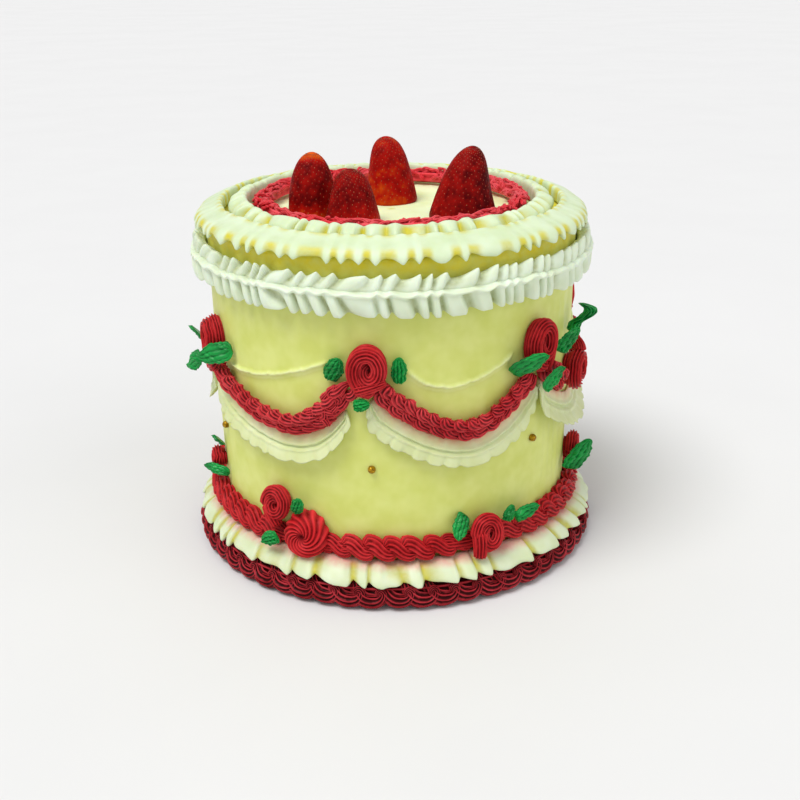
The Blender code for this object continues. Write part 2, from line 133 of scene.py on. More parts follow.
def add_node(tree, kind, settings=None, **links):
    node = tree.nodes.new(kind)
    for key, value in (settings or {}).items():
        setattr(node, key, value)
    plug(tree, node, links)
    return node


def new_material(name):
    """A material, its tree, its shader, and the place on the piece that patterns read."""
    mat = bpy.data.materials.new(name)
    mat.use_nodes = True
    tree = mat.node_tree
    place = add_node(tree, "ShaderNodeTexCoord").outputs["Object"]
    return mat, tree, tree.nodes["Principled BSDF"], place


def patches(tree, place, size_mm, detail, low, high, to_low=0.0, to_high=1.0):
    """Cloudy patches of about a size, spread over a range of values."""
    noise = add_node(tree, "ShaderNodeTexNoise", Vector=place, Scale=1.0 / (size_mm * MM),
                     Detail=detail, Roughness=0.55).outputs["Fac"]
    return add_node(tree, "ShaderNodeMapRange", i0=noise, i1=low, i2=high, i3=to_low,
                    i4=to_high).outputs[0]


def fine_marks(tree, place, size_mm, detail, strength, depth_mm):
    """Fine marks of about a size and a depth, as bump."""
    noise = add_node(tree, "ShaderNodeTexNoise", Vector=place, Scale=1.0 / (size_mm * MM),
                     Detail=detail, Roughness=0.55).outputs["Fac"]
    return add_node(tree, "ShaderNodeBump", Height=noise, Strength=strength,
                    Distance=depth_mm * MM).outputs["Normal"]


print("middle grey is", round(linear("#808080")[0], 3), "in linear light")

# %% [markdown]
# Buttercream is butter and sugar beaten with colour. Its surface is smooth and a little greasy, so
# it shines softly and lets some light in, which fills its own shadows. One flat colour with soft
# light could pass from afar, but real icing is never even. So one function blends a light and a deep
# colour in slow patches, tints them with the stains, painted shade and painted light that a piece
# marks, and adds the fine marks of the tip as bump.

# %% Buttercream
def buttercream(name, light, deep, roughness, glow, bump_mm, tints=(), shine=0.5):
    """A tint is an attribute, its colour, the size of its patches and how strongly it takes."""
    mat, tree, shader, place = new_material(name)
    slow = patches(tree, place, 14.0, 2.0, 0.35, 0.65)
    colour = add_node(tree, "ShaderNodeMix", {"data_type": "RGBA"}, i0=slow, i6=light, i7=deep).outputs[2]
    for key, tint, size_mm, strong in tints:
        share = add_node(tree, "ShaderNodeAttribute", {"attribute_name": key}).outputs["Fac"]
        spread = patches(tree, place, size_mm, 3.0, 0.25, 0.7, 0.4 * strong, strong)
        near = add_node(tree, "ShaderNodeMath", {"operation": "MULTIPLY", "use_clamp": True}, i0=share,
                        i1=spread).outputs[0]
        colour = add_node(tree, "ShaderNodeMix", {"data_type": "RGBA"}, i0=near, i6=colour,
                          i7=tint).outputs[2]
    skin = patches(tree, place, 3.0, 3.0, 0.3, 0.7, roughness - 0.07, roughness + 0.09)
    plug(tree, shader, {
        "Base Color": colour, "Roughness": skin,
        "Normal": fine_marks(tree, place, 0.9, 4.0, 1.0, bump_mm),
        "Subsurface Weight": glow, "Subsurface Radius": (1.0, 0.75, 0.4),
        "Subsurface Scale": 2.2 * MM, "IOR": 1.45, "Specular IOR Level": shine})
    return mat


# Smoothed with a scraper. Painted light makes the top paler, painted shade turns the band under the
# rim and the icing under the ruffles on top a deep yellow, and the crest of each lip is paler too.
YELLOW_ICING = buttercream("smoothed_yellow_buttercream", "#dbe182", "#d1d86e", 0.50, 0.2, 0.04,
                           [("recess_shade", "#e2d00e", 6.0, 1.0), ("lip", "#e8efb8", 4.0, 0.8),
                            ("top", "#f0ffca", 30.0, 1.4)])
# Plain buttercream from a ribbon tip: creamy white, with painted grey-green shade in the troughs of
# its folds and painted yellow shade, for the light that the cake bounces into them, in their dips.
WHITE_ICING = buttercream("piped_white_buttercream", "#dae9c8", "#d0e1b6", 0.45, 0.2, 0.04,
                          [("fold_shade", "#a6b474", 3.0, 1.0), ("thin", "#d6cb2e", 6.0, 1.2)])
# The double frill on the side is a little greyer, in the shade of the rim.
# Its folds get the same painted shade, grey-green and yellow.
SIDE_ICING = buttercream("piped_side_buttercream", "#e2eed8", "#d8e4c6", 0.45, 0.2, 0.04,
                         [("fold_shade", "#a0ab78", 3.0, 1.1), ("thin", "#ccc86a", 5.0, 1.0)])
# The collar at the foot has painted grey-green and yellowish shade in its folds, and is stained by
# the red beside it.
COLLAR_ICING = buttercream("piped_collar_buttercream", "#dae4c4", "#cfdbb0", 0.45, 0.2, 0.04,
                           [("fold_shade", "#8f9850", 3.0, 1.3), ("thin", "#c6c044", 6.0, 1.2),
                            ("stain", "#e0486a", 4.0, 1.1)])
# The frills under the garlands are whipped softer and show the yellow through.
FRILL_ICING = buttercream("thin_white_frill", "#dae2b2", "#cfd89c", 0.45, 0.25, 0.04,
                          [("thin", "#cdd488", 5.0, 1.0), ("stain", "#dc7460", 4.0, 1.3)])
print("pale icings", YELLOW_ICING.name, WHITE_ICING.name, SIDE_ICING.name, COLLAR_ICING.name,
      FRILL_ICING.name)

# %% [markdown]
# Red buttercream takes so much colouring that it turns wet: light catches its thin ridges, and the
# grooves between them go nearly black. Shadows alone could do that if the ridges were deep enough,
# but icing slumps. So the grooves are marked where the tip made them, and get a painted shade of
# deeper colour.

# %% Red and green icing
# The roses and the shells at the foot.
RED_ICING = buttercream("piped_red_buttercream", "#de383c", "#c62428", 0.42, 0.06, 0.03,
                        [("groove", "#680409", 3.0, 1.35), ("eye_shade", "#400204", 6.0, 1.2)], shine=0.1)
# The garlands get a lighter copy of the red, a painted highlight on their ridges.
GARLAND_HIGHLIT_ICING = buttercream("highlit_garland_buttercream", "#f04a50", "#d8323a", 0.42, 0.08, 0.03,
                            [("groove", "#5c0308", 3.0, 1.45)], shine=0.15)
# The ring on top is a shade pinker, beaten with more air.
PINK_RED_ICING = buttercream("piped_light_red_buttercream", "#fa6870", "#ee3c46", 0.45, 0.12, 0.03,
                             [("groove", "#a00e18", 3.0, 1.0)], shine=0.15)
# The lowest border is a darker red, with the deepest painted shade in its grooves.
DARK_RED_ICING = buttercream("piped_dark_red_buttercream", "#cc3a44", "#a01c24", 0.42, 0.05, 0.03,
                             [("groove", "#320203", 3.0, 2.1)], shine=0.1)
# Leaf green, stiff and a little shiny, with painted shade in the grooves between its ribs.
GREEN_ICING = buttercream("piped_green_buttercream", "#0c9c42", "#04722e", 0.34, 0.08, 0.04,
                          [("groove", "#03401d", 3.0, 1.1)], shine=0.32)
print("deep icings", RED_ICING.name, GARLAND_HIGHLIT_ICING.name, PINK_RED_ICING.name, DARK_RED_ICING.name,
      GREEN_ICING.name)

# %% [markdown]
# Most pieces are a skin drawn over a net of points: one row for each place along the piece, and in
# each row a closed outline. Modifiers could bend and taper a ready form, but a net lets every fold
# have its own place, and working with whole arrays keeps it fast and short.

# %% Skins from nets of points
def into_scene(name, data):
    obj = bpy.data.objects.new(name, data)
    bpy.context.scene.collection.objects.link(obj)
    return obj


def finish_piece(obj, material, nodes):
    """Makes a mesh object a smooth piece of the cake that stands for its CAD nodes."""
    obj.data.materials.clear()
    obj.data.materials.append(material)
    obj.data.polygons.foreach_set("use_smooth", [True] * len(obj.data.polygons))
    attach(obj, "root")
    if nodes:
        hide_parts(*nodes)
    print(obj.name, "faces", len(obj.data.polygons))


def mark_points(mesh, marks):
    """Writes a number or a direction on each point of a mesh, under each name."""
    for key, values in marks.items():
        kind, field = ("FLOAT", "value") if values.ndim == 1 else ("FLOAT_VECTOR", "vector")
        mesh.attributes.new(key, kind, "POINT").data.foreach_set(field, values.reshape(-1))


def net_object(name, net, ring=False, attributes=None):
    """A mesh over a net (rows, outline points, 3) in mm; a run that isn't a ring gets its ends."""
    rows, count, _ = net.shape
    verts = net.reshape(-1, 3)
    i = np.arange(rows if ring else rows - 1)[:, None]
    k = np.arange(count)[None, :]
    j = (i + 1) % rows
    m = (k + 1) % count
    quads = np.stack(np.broadcast_arrays(i * count + k, i * count + m, j * count + m, j * count + k),
                     axis=-1).reshape(-1, 4).tolist()
    if not ring:
        verts = np.concatenate([verts, [net[0].mean(axis=0), net[-1].mean(axis=0)]])
        last = (rows - 1) * count
        for k in range(count):
            m = (k + 1) % count
            quads.append((rows * count, m, k))
            quads.append((rows * count + 1, last + k, last + m))
    mesh = bpy.data.meshes.new(name)
    mesh.from_pydata((verts * MM).tolist(), [], quads)
    at_ends = np.zeros(len(verts) - rows * count)
    mark_points(mesh, {key: np.concatenate([values.reshape(-1), at_ends])
                       for key, values in (attributes or {}).items()})
    work = bmesh.new()
    work.from_mesh(mesh)
    bmesh.ops.recalc_face_normals(work, faces=work.faces[:])
    work.to_mesh(mesh)
    work.free()
    return into_scene(name, mesh)


print("skins can be drawn")

# %% [markdown]
# A star tip is a cone with teeth cut in its mouth. Whatever path the hand takes, the icing comes out
# with a star-shaped section, and the teeth leave fine ridges along the path. A bevelled curve could
# show the ridges too. Geometry Nodes also carry values along: the path gets its thickness from an
# attribute, and the profile marks the groove between two teeth, where shade is painted.

# %% The star tip as a node tree
def new_tree(name, inputs, output):
    """A tree with named inputs and one mesh output, and the sockets that give the inputs."""
    tree = bpy.data.node_groups.new(name, "GeometryNodeTree")
    for key, kind in inputs.items():
        tree.interface.new_socket(key, in_out="INPUT", socket_type="NodeSocket" + kind)
    tree.interface.new_socket(output, in_out="OUTPUT", socket_type="NodeSocketGeometry")
    return tree, add_node(tree, "NodeGroupInput").outputs


def end_tree(tree, geometry, material):
    """Copies are made real, get their material, and leave the tree."""
    real = add_node(tree, "GeometryNodeRealizeInstances", Geometry=geometry).outputs[0]
    coloured = add_node(tree, "GeometryNodeSetMaterial", Geometry=real, Material=material).outputs[0]
    add_node(tree, "NodeGroupOutput", i0=coloured)


def star_tip_tree():
    tree, given = new_tree("star_tip", {"Path": "Geometry", "Teeth": "Int", "Tooth root": "Float",
                                        "Icing": "Material"}, "Piping")
    curve = add_node(tree, "GeometryNodeMeshToCurve", i0=given["Path"]).outputs[0]
    size = add_node(tree, "GeometryNodeInputNamedAttribute", {"data_type": "FLOAT"}, Name="bag_size")
    star = add_node(tree, "GeometryNodeCurveStar", Points=given["Teeth"],
                    Inner_Radius=given["Tooth root"], Outer_Radius=1.0).outputs
    # The root between two teeth is marked for painted shade.
    groove = add_node(tree, "ShaderNodeMath", {"operation": "SUBTRACT"}, i0=1.0,
                      i1=star["Outer Points"]).outputs[0]
    star = add_node(tree, "GeometryNodeStoreNamedAttribute", {"data_type": "FLOAT", "domain": "POINT"},
                    Geometry=star["Curve"], Name="groove", Value=groove).outputs[0]
    # A point halfway up each tooth keeps its ridge from being smoothed away.
    star = add_node(tree, "GeometryNodeSubdivideCurve", Curve=star, Cuts=1).outputs[0]
    piped = add_node(tree, "GeometryNodeCurveToMesh", Curve=curve, Profile_Curve=star,
                     Scale=size.outputs["Attribute"], Fill_Caps=True).outputs[0]
    end_tree(tree, piped, given["Icing"])
    return tree


STAR_TIP = star_tip_tree()
print("the star tip has", len(STAR_TIP.nodes), "nodes")

# %% [markdown]
# A tree runs as a modifier on the path. Its inputs are set by their identifiers, because that is
# how a modifier keeps them, and its result is kept as a plain mesh, so that the finished piece
# holds nothing live.

# %% Piping along strands
def run_tree(obj, tree, values):
    """Runs a node tree on an object and keeps the result as a plain mesh."""
    sockets = {item.name: item.identifier for item in tree.interface.items_tree
               if item.item_type == "SOCKET" and item.in_out == "INPUT"}
    modifier = obj.modifiers.new("tree", "NODES")
    modifier.node_group = tree
    for key, value in values.items():
        modifier[sockets[key]] = value
    bpy.context.view_layer.update()
    graph = bpy.context.evaluated_depsgraph_get()
    mesh = bpy.data.meshes.new_from_object(obj.evaluated_get(graph))
    obj.modifiers.remove(modifier)
    old = obj.data
    obj.data = mesh
    bpy.data.meshes.remove(old)


def piped(name, strands, material, teeth, root):
    """Star-tip piping along strands: points and thickness in mm, whether it closes, how much shade is
    painted.
    """
    verts, sizes, eye_shade, edges, start = [], [], [], [], 0
    for points, size, closed, *low in strands:
        count = len(points)
        verts.append(points)
        eye_shade.append(low[0] if low else np.zeros(count))
        sizes.append(np.broadcast_to(size, (count,)))
        edges += [(start + k, start + k + 1) for k in range(count - 1)]
        if closed:
            edges.append((start + count - 1, start))
        start += count
    mesh = bpy.data.meshes.new(name)
    mesh.from_pydata((np.concatenate(verts) * MM).tolist(), edges, [])
    mark_points(mesh, {"bag_size": np.concatenate(sizes).astype(float) * MM,
                       "eye_shade": np.concatenate(eye_shade)})
    obj = into_scene(name, mesh)
    run_tree(obj, STAR_TIP, {"Teeth": teeth, "Tooth root": root, "Icing": material})
    return obj


print("the bag is filled")

# %% [markdown]
# A shell or a feather is one short squeeze: the bag swells the icing at the start, then the hand
# pulls away and the stroke gets thin. Each could be drawn by its points, but hundreds of them differ
# only in a few numbers. So one helper gives a stroke on flat icing, by along, across and out, from a
# start to an end, with a bend to either side.

# %% One stroke of the bag
def stroke(start, end, thick, tail, bend=0.0, steps=13):
    """Start and end are along, across, out; returns those three and the thickness."""
    t = np.linspace(0.0, 1.0, steps) ** 1.15
    a, b = np.array(start, float), np.array(end, float)
    line = a[None] + (b - a)[None] * t[:, None]
    run = b[:2] - a[:2]
    side = np.array([-run[1], run[0]]) / max(np.hypot(*run), 1e-6)
    line[:, :2] += side[None] * (bend * np.sin(2 * math.pi * t))[:, None]
    line[:, 2] += 0.9 * np.sin(math.pi * t)
    round_start = np.sqrt(np.clip((t + 0.01) / 0.12, 0.05, 1.0))
    size = (thick + (tail - thick) * t ** 1.4) * round_start
    size[-1] = size[-1] * 0.35
    return line[:, 0], line[:, 1], line[:, 2], size


print("a stroke is", stroke((0, 0, 0), (8, 2, 0), 3.0, 1.0)[3].round(1).tolist(), "mm thick along it")

# %% [markdown]
# Garlands, frills and the lips above them all hang between the roses. A cord would hang in one known
# curve, but icing is led by hand, so each curve has its own low point, and its own rise to the left
# and to the right. It is walked by its length, which keeps the strokes evenly spaced.

# %% Hanging curves
class Hanging:
    """A curve on the side from start to end, in mm from an angle, low at (low, low_z)."""

    def __init__(self, angle, start, end, low, low_z, rise_start, rise_end, pow_start, pow_end):
        self.angle, self.start, self.end = angle, start, end
        self.rule = (low, low_z, rise_start, rise_end, pow_start, pow_end)
        self.u = np.linspace(start, end, 400)
        self.z = self.height(self.u)
        steps = np.hypot(np.diff(self.u), np.diff(self.z))
        self.marks = np.concatenate([[0.0], np.cumsum(steps)])
        self.length = self.marks[-1]

    def height(self, u):
        low, low_z, rise_start, rise_end, pow_start, pow_end = self.rule
        left = rise_start * np.clip((low - u) / (low - self.start), 0, None) ** pow_start
        right = rise_end * np.clip((u - low) / (self.end - low), 0, None) ** pow_end
        return low_z + left + right

    def place(self, s, n, h):
        """Points s along, n to the lower side and h out from the icing."""
        s = np.asarray(s, float)
        inside = np.clip(s, 0.05, self.length - 0.05)
        u = np.interp(inside, self.marks, self.u)
        z = np.interp(inside, self.marks, self.z)
        du = np.interp(inside + 0.04, self.marks, self.u) - np.interp(inside - 0.04, self.marks, self.u)
        dz = np.interp(inside + 0.04, self.marks, self.z) - np.interp(inside - 0.04, self.marks, self.z)
        size = np.hypot(du, dz)
        du, dz = du / size, dz / size
        u = u + du * (s - inside)
        z = z + dz * (s - inside)
        return on_side(self.angle, u + dz * n, z - du * n, h)


# Each lip is a curve and how far down its thin skirt fades, in mm.
LIPS = [
    (Hanging(-67.0, 17.0, 80.0, 25.0, 115.2, 0.4, 13.6, 2.0, 1.7), 6.0),
    (Hanging(-6.6, 21.0, 71.0, 40.0, 117.6, 7.2, 9.0, 2.2, 1.7), 7.0),
    (Hanging(44.5, 20.0, 88.0, 48.0, 121.2, 5.0, 6.0, 2.0, 1.8), 3.0),
    (Hanging(106.6, 18.5, 88.0, 54.0, 117.0, 9.0, 10.0, 2.0, 1.8), 7.0),
    (Hanging(168.8, 18.5, 88.0, 50.0, 118.0, 10.0, 9.0, 2.0, 1.9), 7.0),
    (Hanging(230.9, 18.5, 88.0, 52.0, 116.5, 9.0, 8.0, 2.0, 1.8), 7.0),
]
print("lips, mm long", [round(float(curve.length)) for curve, _ in LIPS])

# %% [markdown]
# The cake itself is a smooth round body, turned against a scraper that leaves faint upright marks.
# Above each garland the icing is drawn into a thin lip, as if a cloth hung there. The lips could be
# strips of their own, but they grow out of the icing, so the body's skin swells near each curve.

# %% The iced body
def lips_over(a, h):
    """How far the lips lift the skin at angles a and heights h, and how much of it is lip."""
    lift, lip = np.zeros_like(h), np.zeros_like(h)
    for curve, skirt in LIPS:
        u = np.radians((a - curve.angle + 180.0) % 360.0 - 180.0) * UNROLL_RADIUS
        fray = 0.35 * wander(u, 31, 9.0) + 0.1 * wander(u, 32, 2.4)
        ahead, behind = curve.height(u + 0.5), curve.height(u - 0.5)
        below = (curve.height(u) + fray - h) / np.hypot(1.0, ahead - behind)
        ends = np.clip((u - curve.start + 3.0) / 3.0, 0, 1) * np.clip((curve.end + 4.0 - u) / 3.0, 0, 1)
        rise = np.clip((below + 0.6) / 0.6, 0, 1)
        fall = np.clip(1.0 - below / skirt, 0, 1) ** 1.6
        crest = np.exp(-((below - 0.6) / 0.85) ** 2) + 0.3 * np.exp(-((below - 2.6) / 0.7) ** 2)
        lift = lift + np.sqrt(ends) * (0.8 * rise * fall + 1.05 * crest)
        lip = np.maximum(lip, ends * np.minimum(1.0, 1.2 * crest))
    return lift, lip


def iced_body():
    # Rows lie close together only where the lips are, from 100 to 137 mm up.
    z = np.concatenate([[0.2, 0.6, 1.4], np.arange(4, 100, 4), np.arange(100, 137, 0.55),
                        np.arange(138, 181, 3), [181.4, 182.3, 183.0, 183.5, 183.8]])
    turns = 560
    angle = np.arange(turns) * 360.0 / turns
    a, h = np.meshgrid(angle, z, indexing="ij")
    r = body_radius(h) - 1.2 * np.clip(1.0 - h / 1.4, 0, 1) ** 2
    edge = np.clip((h - 180.4) / 3.6, 0, 1)
    r = r - 4.0 * (1.0 - np.sqrt(1.0 - 0.98 * edge ** 2))
    slow = 0.16 * ring_wander(a + 0.3 * h, 5, (2, 3, 5, 7, 9)) * np.sin(h / 37.0)
    marks = np.clip(ring_wander(a, 12, (2, 3, 4, 5, 7)) + 0.9 * np.exp(-((a - 52.0) / 16.0) ** 2), 0, 1.4)
    scrape = 0.13 * ring_wander(a, 8, (31, 47, 58, 83, 97)) * marks
    r = r + (slow + scrape) * np.clip((180 - h) / 8, 0, 1) * np.clip(h / 8, 0, 1)
    lift, lip = lips_over(a, h)
    side = around(a, r + lift, h)
    rings = [side[:, k] for k in range(side.shape[1])]
    top_r = [96.6, 95.0, 92, 84, 72, 58, 42, 26, 12, 3]
    for radius in top_r:
        swirl = 0.10 * np.sin(np.radians(3 * angle) + radius / 9.0)
        rings.append(around(angle, radius, BODY_TOP - 0.12 + swirl * (radius < 90)))
    net = np.stack([around(angle, 40.0, 0.0), around(angle, 97.8, 0.0)] + rings, axis=0)
    # Painted shade, deep yellow, under the rim and under the ruffles on top; painted light on the rest of
    # the top.
    recess_shade = np.clip((h - 170.0) / 8.0, 0, 1)
    spare = np.zeros((2, turns))
    above = np.array([1.0 if 77.0 < radius < 98.0 else 0.0 for radius in top_r])[:, None]
    above = above * np.ones((1, turns))
    return net_object("iced_body", net, attributes={
        "lip": np.concatenate([spare, lip.T, 0.0 * above]),
        "top": np.concatenate([spare, 0.0 * lip.T, 1.0 - above]),
        "recess_shade": np.concatenate([spare, recess_shade.T, above])})


finish_piece(iced_body(), YELLOW_ICING, ["cake_body"])

# %% [markdown]
# Sugar balls with a coat of edible gold are pressed into the side under each rose. Plain round balls
# would look like steel. A real one is dented, and its lustre is rubbed brown in places, so each is a
# fine ball of triangles that is pushed in here and there.

# %% Gold balls
ROSE_ANGLES = [-67.0, -6.6, 46.0, 106.6, 168.8, 230.9]
GOLD_BALL_Z = [73.6, 74.2, 76.9, 75.0, 74.0, 75.5]
GOLD_BALL_R = 2.05


def two_tones(name, size_mm, detail, first, second, smooth, rough, metallic=0.0):
    """A material that goes between two colours, and two roughnesses, in cloudy patches."""
    mat, tree, shader, place = new_material(name)
    cloud = patches(tree, place, size_mm, detail, 0.35, 0.65)
    colour = add_node(tree, "ShaderNodeMix", {"data_type": "RGBA"}, i0=cloud, i6=first, i7=second)
    finish = add_node(tree, "ShaderNodeMapRange", i0=cloud, i3=smooth, i4=rough)
    plug(tree, shader, {"Base Color": colour.outputs[2], "Roughness": finish.outputs[0],
                        "Metallic": metallic})
    return mat


def gold_balls():
    work = bmesh.new()
    for k, angle in enumerate(ROSE_ANGLES):
        centre = on_side(angle, 0.0, GOLD_BALL_Z[k], 1.1) * MM
        ball = bmesh.ops.create_icosphere(work, subdivisions=4, radius=GOLD_BALL_R * MM)
        for vert in ball["verts"]:
            d = vert.co.normalized()
            dent = 1.0 - 0.05 * math.sin(4 * d.x + k) * math.cos(5 * d.z + 2 * k) - 0.03 * math.sin(9 * d.y)
            vert.co = vert.co * min(1.0, dent) + Vector(centre)
    mesh = bpy.data.meshes.new("gold_balls")
    work.to_mesh(mesh)
    work.free()
    return into_scene("gold_balls", mesh)


# Edible gold lustre on sugar: a dull metal skin, rubbed brown in places.
GOLD_LUSTRE = two_tones("gold_lustre_sugar", 1.2, 3.0, "#c79a1c", "#7a5306", 0.28, 0.5, metallic=0.75)
finish_piece(gold_balls(), GOLD_LUSTRE, [])

# %% [markdown]
# A ruffle comes from a ribbon tip held flat and moved in and out: the ribbon's outer edge is too
# long for its place, so it falls in folds. A cloth simulation could fold it, but icing keeps the
# shape that the hand gave it. Two outlines are enough for that: the section where a fold stands out
# and the one where it drops in. The skin swings between them.

# %% Folds between two outlines
def smooth_outline(points, per_side):
    """A soft closed outline through the middles of the given corners, with rounded corners."""
    corners = np.array(points, float)
    before = (np.roll(corners, 1, axis=0) + corners) / 2
    after = (np.roll(corners, -1, axis=0) + corners) / 2
    t = (np.arange(per_side) / per_side)[None, :, None]
    curve = (1 - t) ** 2 * before[:, None] + 2 * t * (1 - t) * corners[:, None] + t ** 2 * after[:, None]
    return curve.reshape(-1, corners.shape[1])


def fold(turns, peak, point=0.0):
    """A fold that rises from 0 to 1 over the share peak of its turn and falls back after it.

    Point goes from 0 for a round crest to 1 for a crest that ends in a point."""
    part = turns % 1.0
    rising = (1 - point) * (0.5 - 0.5 * np.cos(math.pi * part / peak)) + point * (part / peak) ** 1.4
    back = (1.0 - part) / (1.0 - peak)
    falling = (1 - point) * (0.5 - 0.5 * np.cos(math.pi * back)) + point * np.clip(back, 0, 1) ** 1.2
    return np.where(part < peak, rising, falling)


print("one fold", fold(np.arange(0, 1, 0.125), 0.5).round(2).tolist())

# %% [markdown]
# In a real ruffle no two folds are alike: they drift, lean and puff up as the hand goes round. A
# narrow crest or a broad one is only a power of the fold. Where two ribbons meet in a seam, the
# folds above and below it follow rules of their own, and the seam itself snakes along.

# %% A ruffle round the cake
# The rings of folds are about this long, in mm.
RUFFLE_LENGTH = 660.0


def ruffle(out_line, in_line, waves, seed, peak=0.5, point=0.0, crest=1.0, lean=0.0, level=0.0,
           uneven=0.25, swell=0.5, per_wave=16, per_side=4, seam=None):
    """A closed ring of folds between two outlines of radius and height.

    The crest above 1 makes narrow crests and below 1 broad ones. The folds lean along the ring
    with height. A seam is a height, and the folds' peak, crest and lean below it."""
    outer = smooth_outline(out_line, per_side)
    inner = smooth_outline(in_line, per_side)
    angle = (np.arange(waves * per_wave) * 360.0 / (waves * per_wave))[:, None]
    mid = (outer[:, 1] + inner[:, 1])[None, :] / 2
    drift = uneven * ring_wander(angle, seed, (5, 9, 14, 22, 31))
    leaning = 1.0 + 0.7 * ring_wander(angle, seed + 5, (1, 2, 3, 4, 6))
    # Height is counted in folds, so a lean of 1 moves a fold as far along as it goes up.
    per_mm = (mid - level) * waves / RUFFLE_LENGTH
    turns = waves * angle / 360.0 + drift
    share = fold(turns + lean * leaning * per_mm, peak, point) ** crest
    if seam:
        height, low_peak, low_crest, low_lean = seam
        under = turns + 0.42 + 0.15 * ring_wander(angle, seed + 7, (4, 7, 12, 18, 26))
        under = fold(under + low_lean * leaning * per_mm, low_peak)
        under = 1.0 - (1.0 - under) ** low_crest
        side = np.clip((height - mid) / 1.2, 0, 1)
        share = share * (1 - side) + under * side
        share = share + (0.55 - 0.6 * share) * np.exp(-((mid - height) / 1.0) ** 2)
        seam_wave = 0.7 * np.cos(2 * math.pi * turns) + 0.5 * ring_wander(angle, seed + 9, (13, 21, 34, 47))
        seam_wave = seam_wave * np.exp(-((mid - height) / 2.5) ** 2)
    strength = 1.0 + 0.30 * ring_wander(angle, seed + 1, (7, 12, 19, 27, 41))
    share = np.clip((share - 0.5) * strength + 0.5, -0.1, 1.0)
    section = inner[None] * (1 - share[:, :, None]) + outer[None] * share[:, :, None]
    if seam:
        section[:, :, 1] += seam_wave
    puff = swell * ring_wander(angle, seed + 2, (4, 7, 11, 17, 25))
    reach = np.clip((section[:, :, 0] - outer[:, 0].mean()) / 6.0, -0.3, 1)
    r = section[:, :, 0] + 0.6 * puff * reach
    z = section[:, :, 1] + 0.5 * puff * np.clip(section[:, :, 1] - 0.5, 0, 1)
    apart = np.clip(np.hypot(*(outer - inner).T) / 2.0, 0, 1)[None, :]
    # Painted shade where a fold drops in.
    fold_shade = 0.9 * np.clip(0.5 - share, 0, 0.5) / 0.5 * apart
    return around(angle, r, z), share, section, fold_shade


def ruffle_piece(name, node, material, yellow_shade_rule, stain_rule=None, **shape):
    """From the folds, the shade rule says where yellow shade is painted, the stain rule where red bled in.
    """
    net, share, section, fold_shade = ruffle(**shape)
    attributes = {"thin": yellow_shade_rule(share, section[:, :, 0], section[:, :, 1]), "fold_shade": fold_shade}
    if stain_rule:
        attributes["stain"] = stain_rule(section[:, :, 1])
    obj = net_object(name, net, ring=True, attributes=attributes)
    finish_piece(obj, material, [node])


print("ruffles can be piped")

# %% [markdown]
# Two ruffles lie on the top edge. The outer one hangs over the edge in points, and the inner one is
# fatter, with small dimples. One rule makes both from their own two outlines, which is easier to
# shape than one mesh with many folds. Yellow shade is painted in the dips of their folds.

# %% Ruffles on top
def dip(share, high):
    """1 where a fold drops in fully, 0 where it is over the given share."""
    return np.clip(high - share, 0, high) / high


def rim_thin(share, r, z):
    """Painted yellow shade in the arches at the hanging edge and in the dips behind the crest."""
    edge = np.clip((188.6 - z) / 1.5, 0, 1) + np.clip((95.5 - r) / 3.0, 0, 1)
    return 0.9 * dip(share, 0.6) * np.clip(edge, 0, 1)


# Painted yellow shade in the dips of the inner ruffle's folds.
def inner_thin(share, r, z):
    return dip(share, 0.75) * np.clip((r - 79.6) / 1.6, 0, 1) * np.clip((193.8 - z) / 1.5, 0, 1)


ruffle_piece(
    "rim_ruffle_piped", "rim_ruffle", WHITE_ICING, rim_thin, waves=64, seed=11, peak=0.56, point=0.5,
    crest=1.35, uneven=0.42, swell=0.6, per_wave=18, per_side=4,
    out_line=[(91.2, 184.5), (97.0, 184.4), (101.6, 184.6), (104.4, 182.6), (106.0, 180.9), (107.0, 181.6),
              (106.9, 184.2), (104.6, 187.4), (101.0, 189.4), (96.0, 190.9), (93.2, 192.9), (91.1, 192.2),
              (91.0, 188.0)],
    in_line=[(91.2, 184.5), (97.0, 184.4), (100.6, 184.4), (102.6, 184.0), (104.6, 183.8), (105.6, 184.6),
             (105.4, 185.8), (104.2, 187.6), (100.6, 189.3), (96.0, 190.8), (93.3, 192.3), (91.4, 191.6),
             (91.2, 187.8)])

ruffle_piece(
    "inner_ruffle_piped", "inner_ruffle", WHITE_ICING, inner_thin, waves=46, seed=17, peak=0.5, crest=0.6,
    uneven=0.45, swell=0.7, per_wave=22, per_side=5,
    out_line=[(77.7, 184.4), (82.0, 184.4), (86.2, 185.4), (88.4, 187.8), (87.6, 191.4), (84.2, 193.6),
              (80.4, 195.0), (77.9, 193.8), (77.7, 189.0)],
    in_line=[(77.7, 184.4), (82.0, 184.4), (85.8, 185.0), (86.6, 186.4), (83.0, 188.4), (81.4, 191.2),
             (79.8, 193.7), (77.9, 192.6), (77.7, 188.0)])

# %% [markdown]
# The double frill under the rim was piped in one go with the ribbon's seam in the middle: pointed
# folds stand up above the seam and square tabs hang below it. It could be two rings, but they would
# never meet as neatly as one skin whose folds change at the seam.

# %% Double frill on the side
# A faint painted yellow shade in the dips of the frill's folds.
def side_thin(share, r, z):
    return 0.15 * dip(share, 0.4)


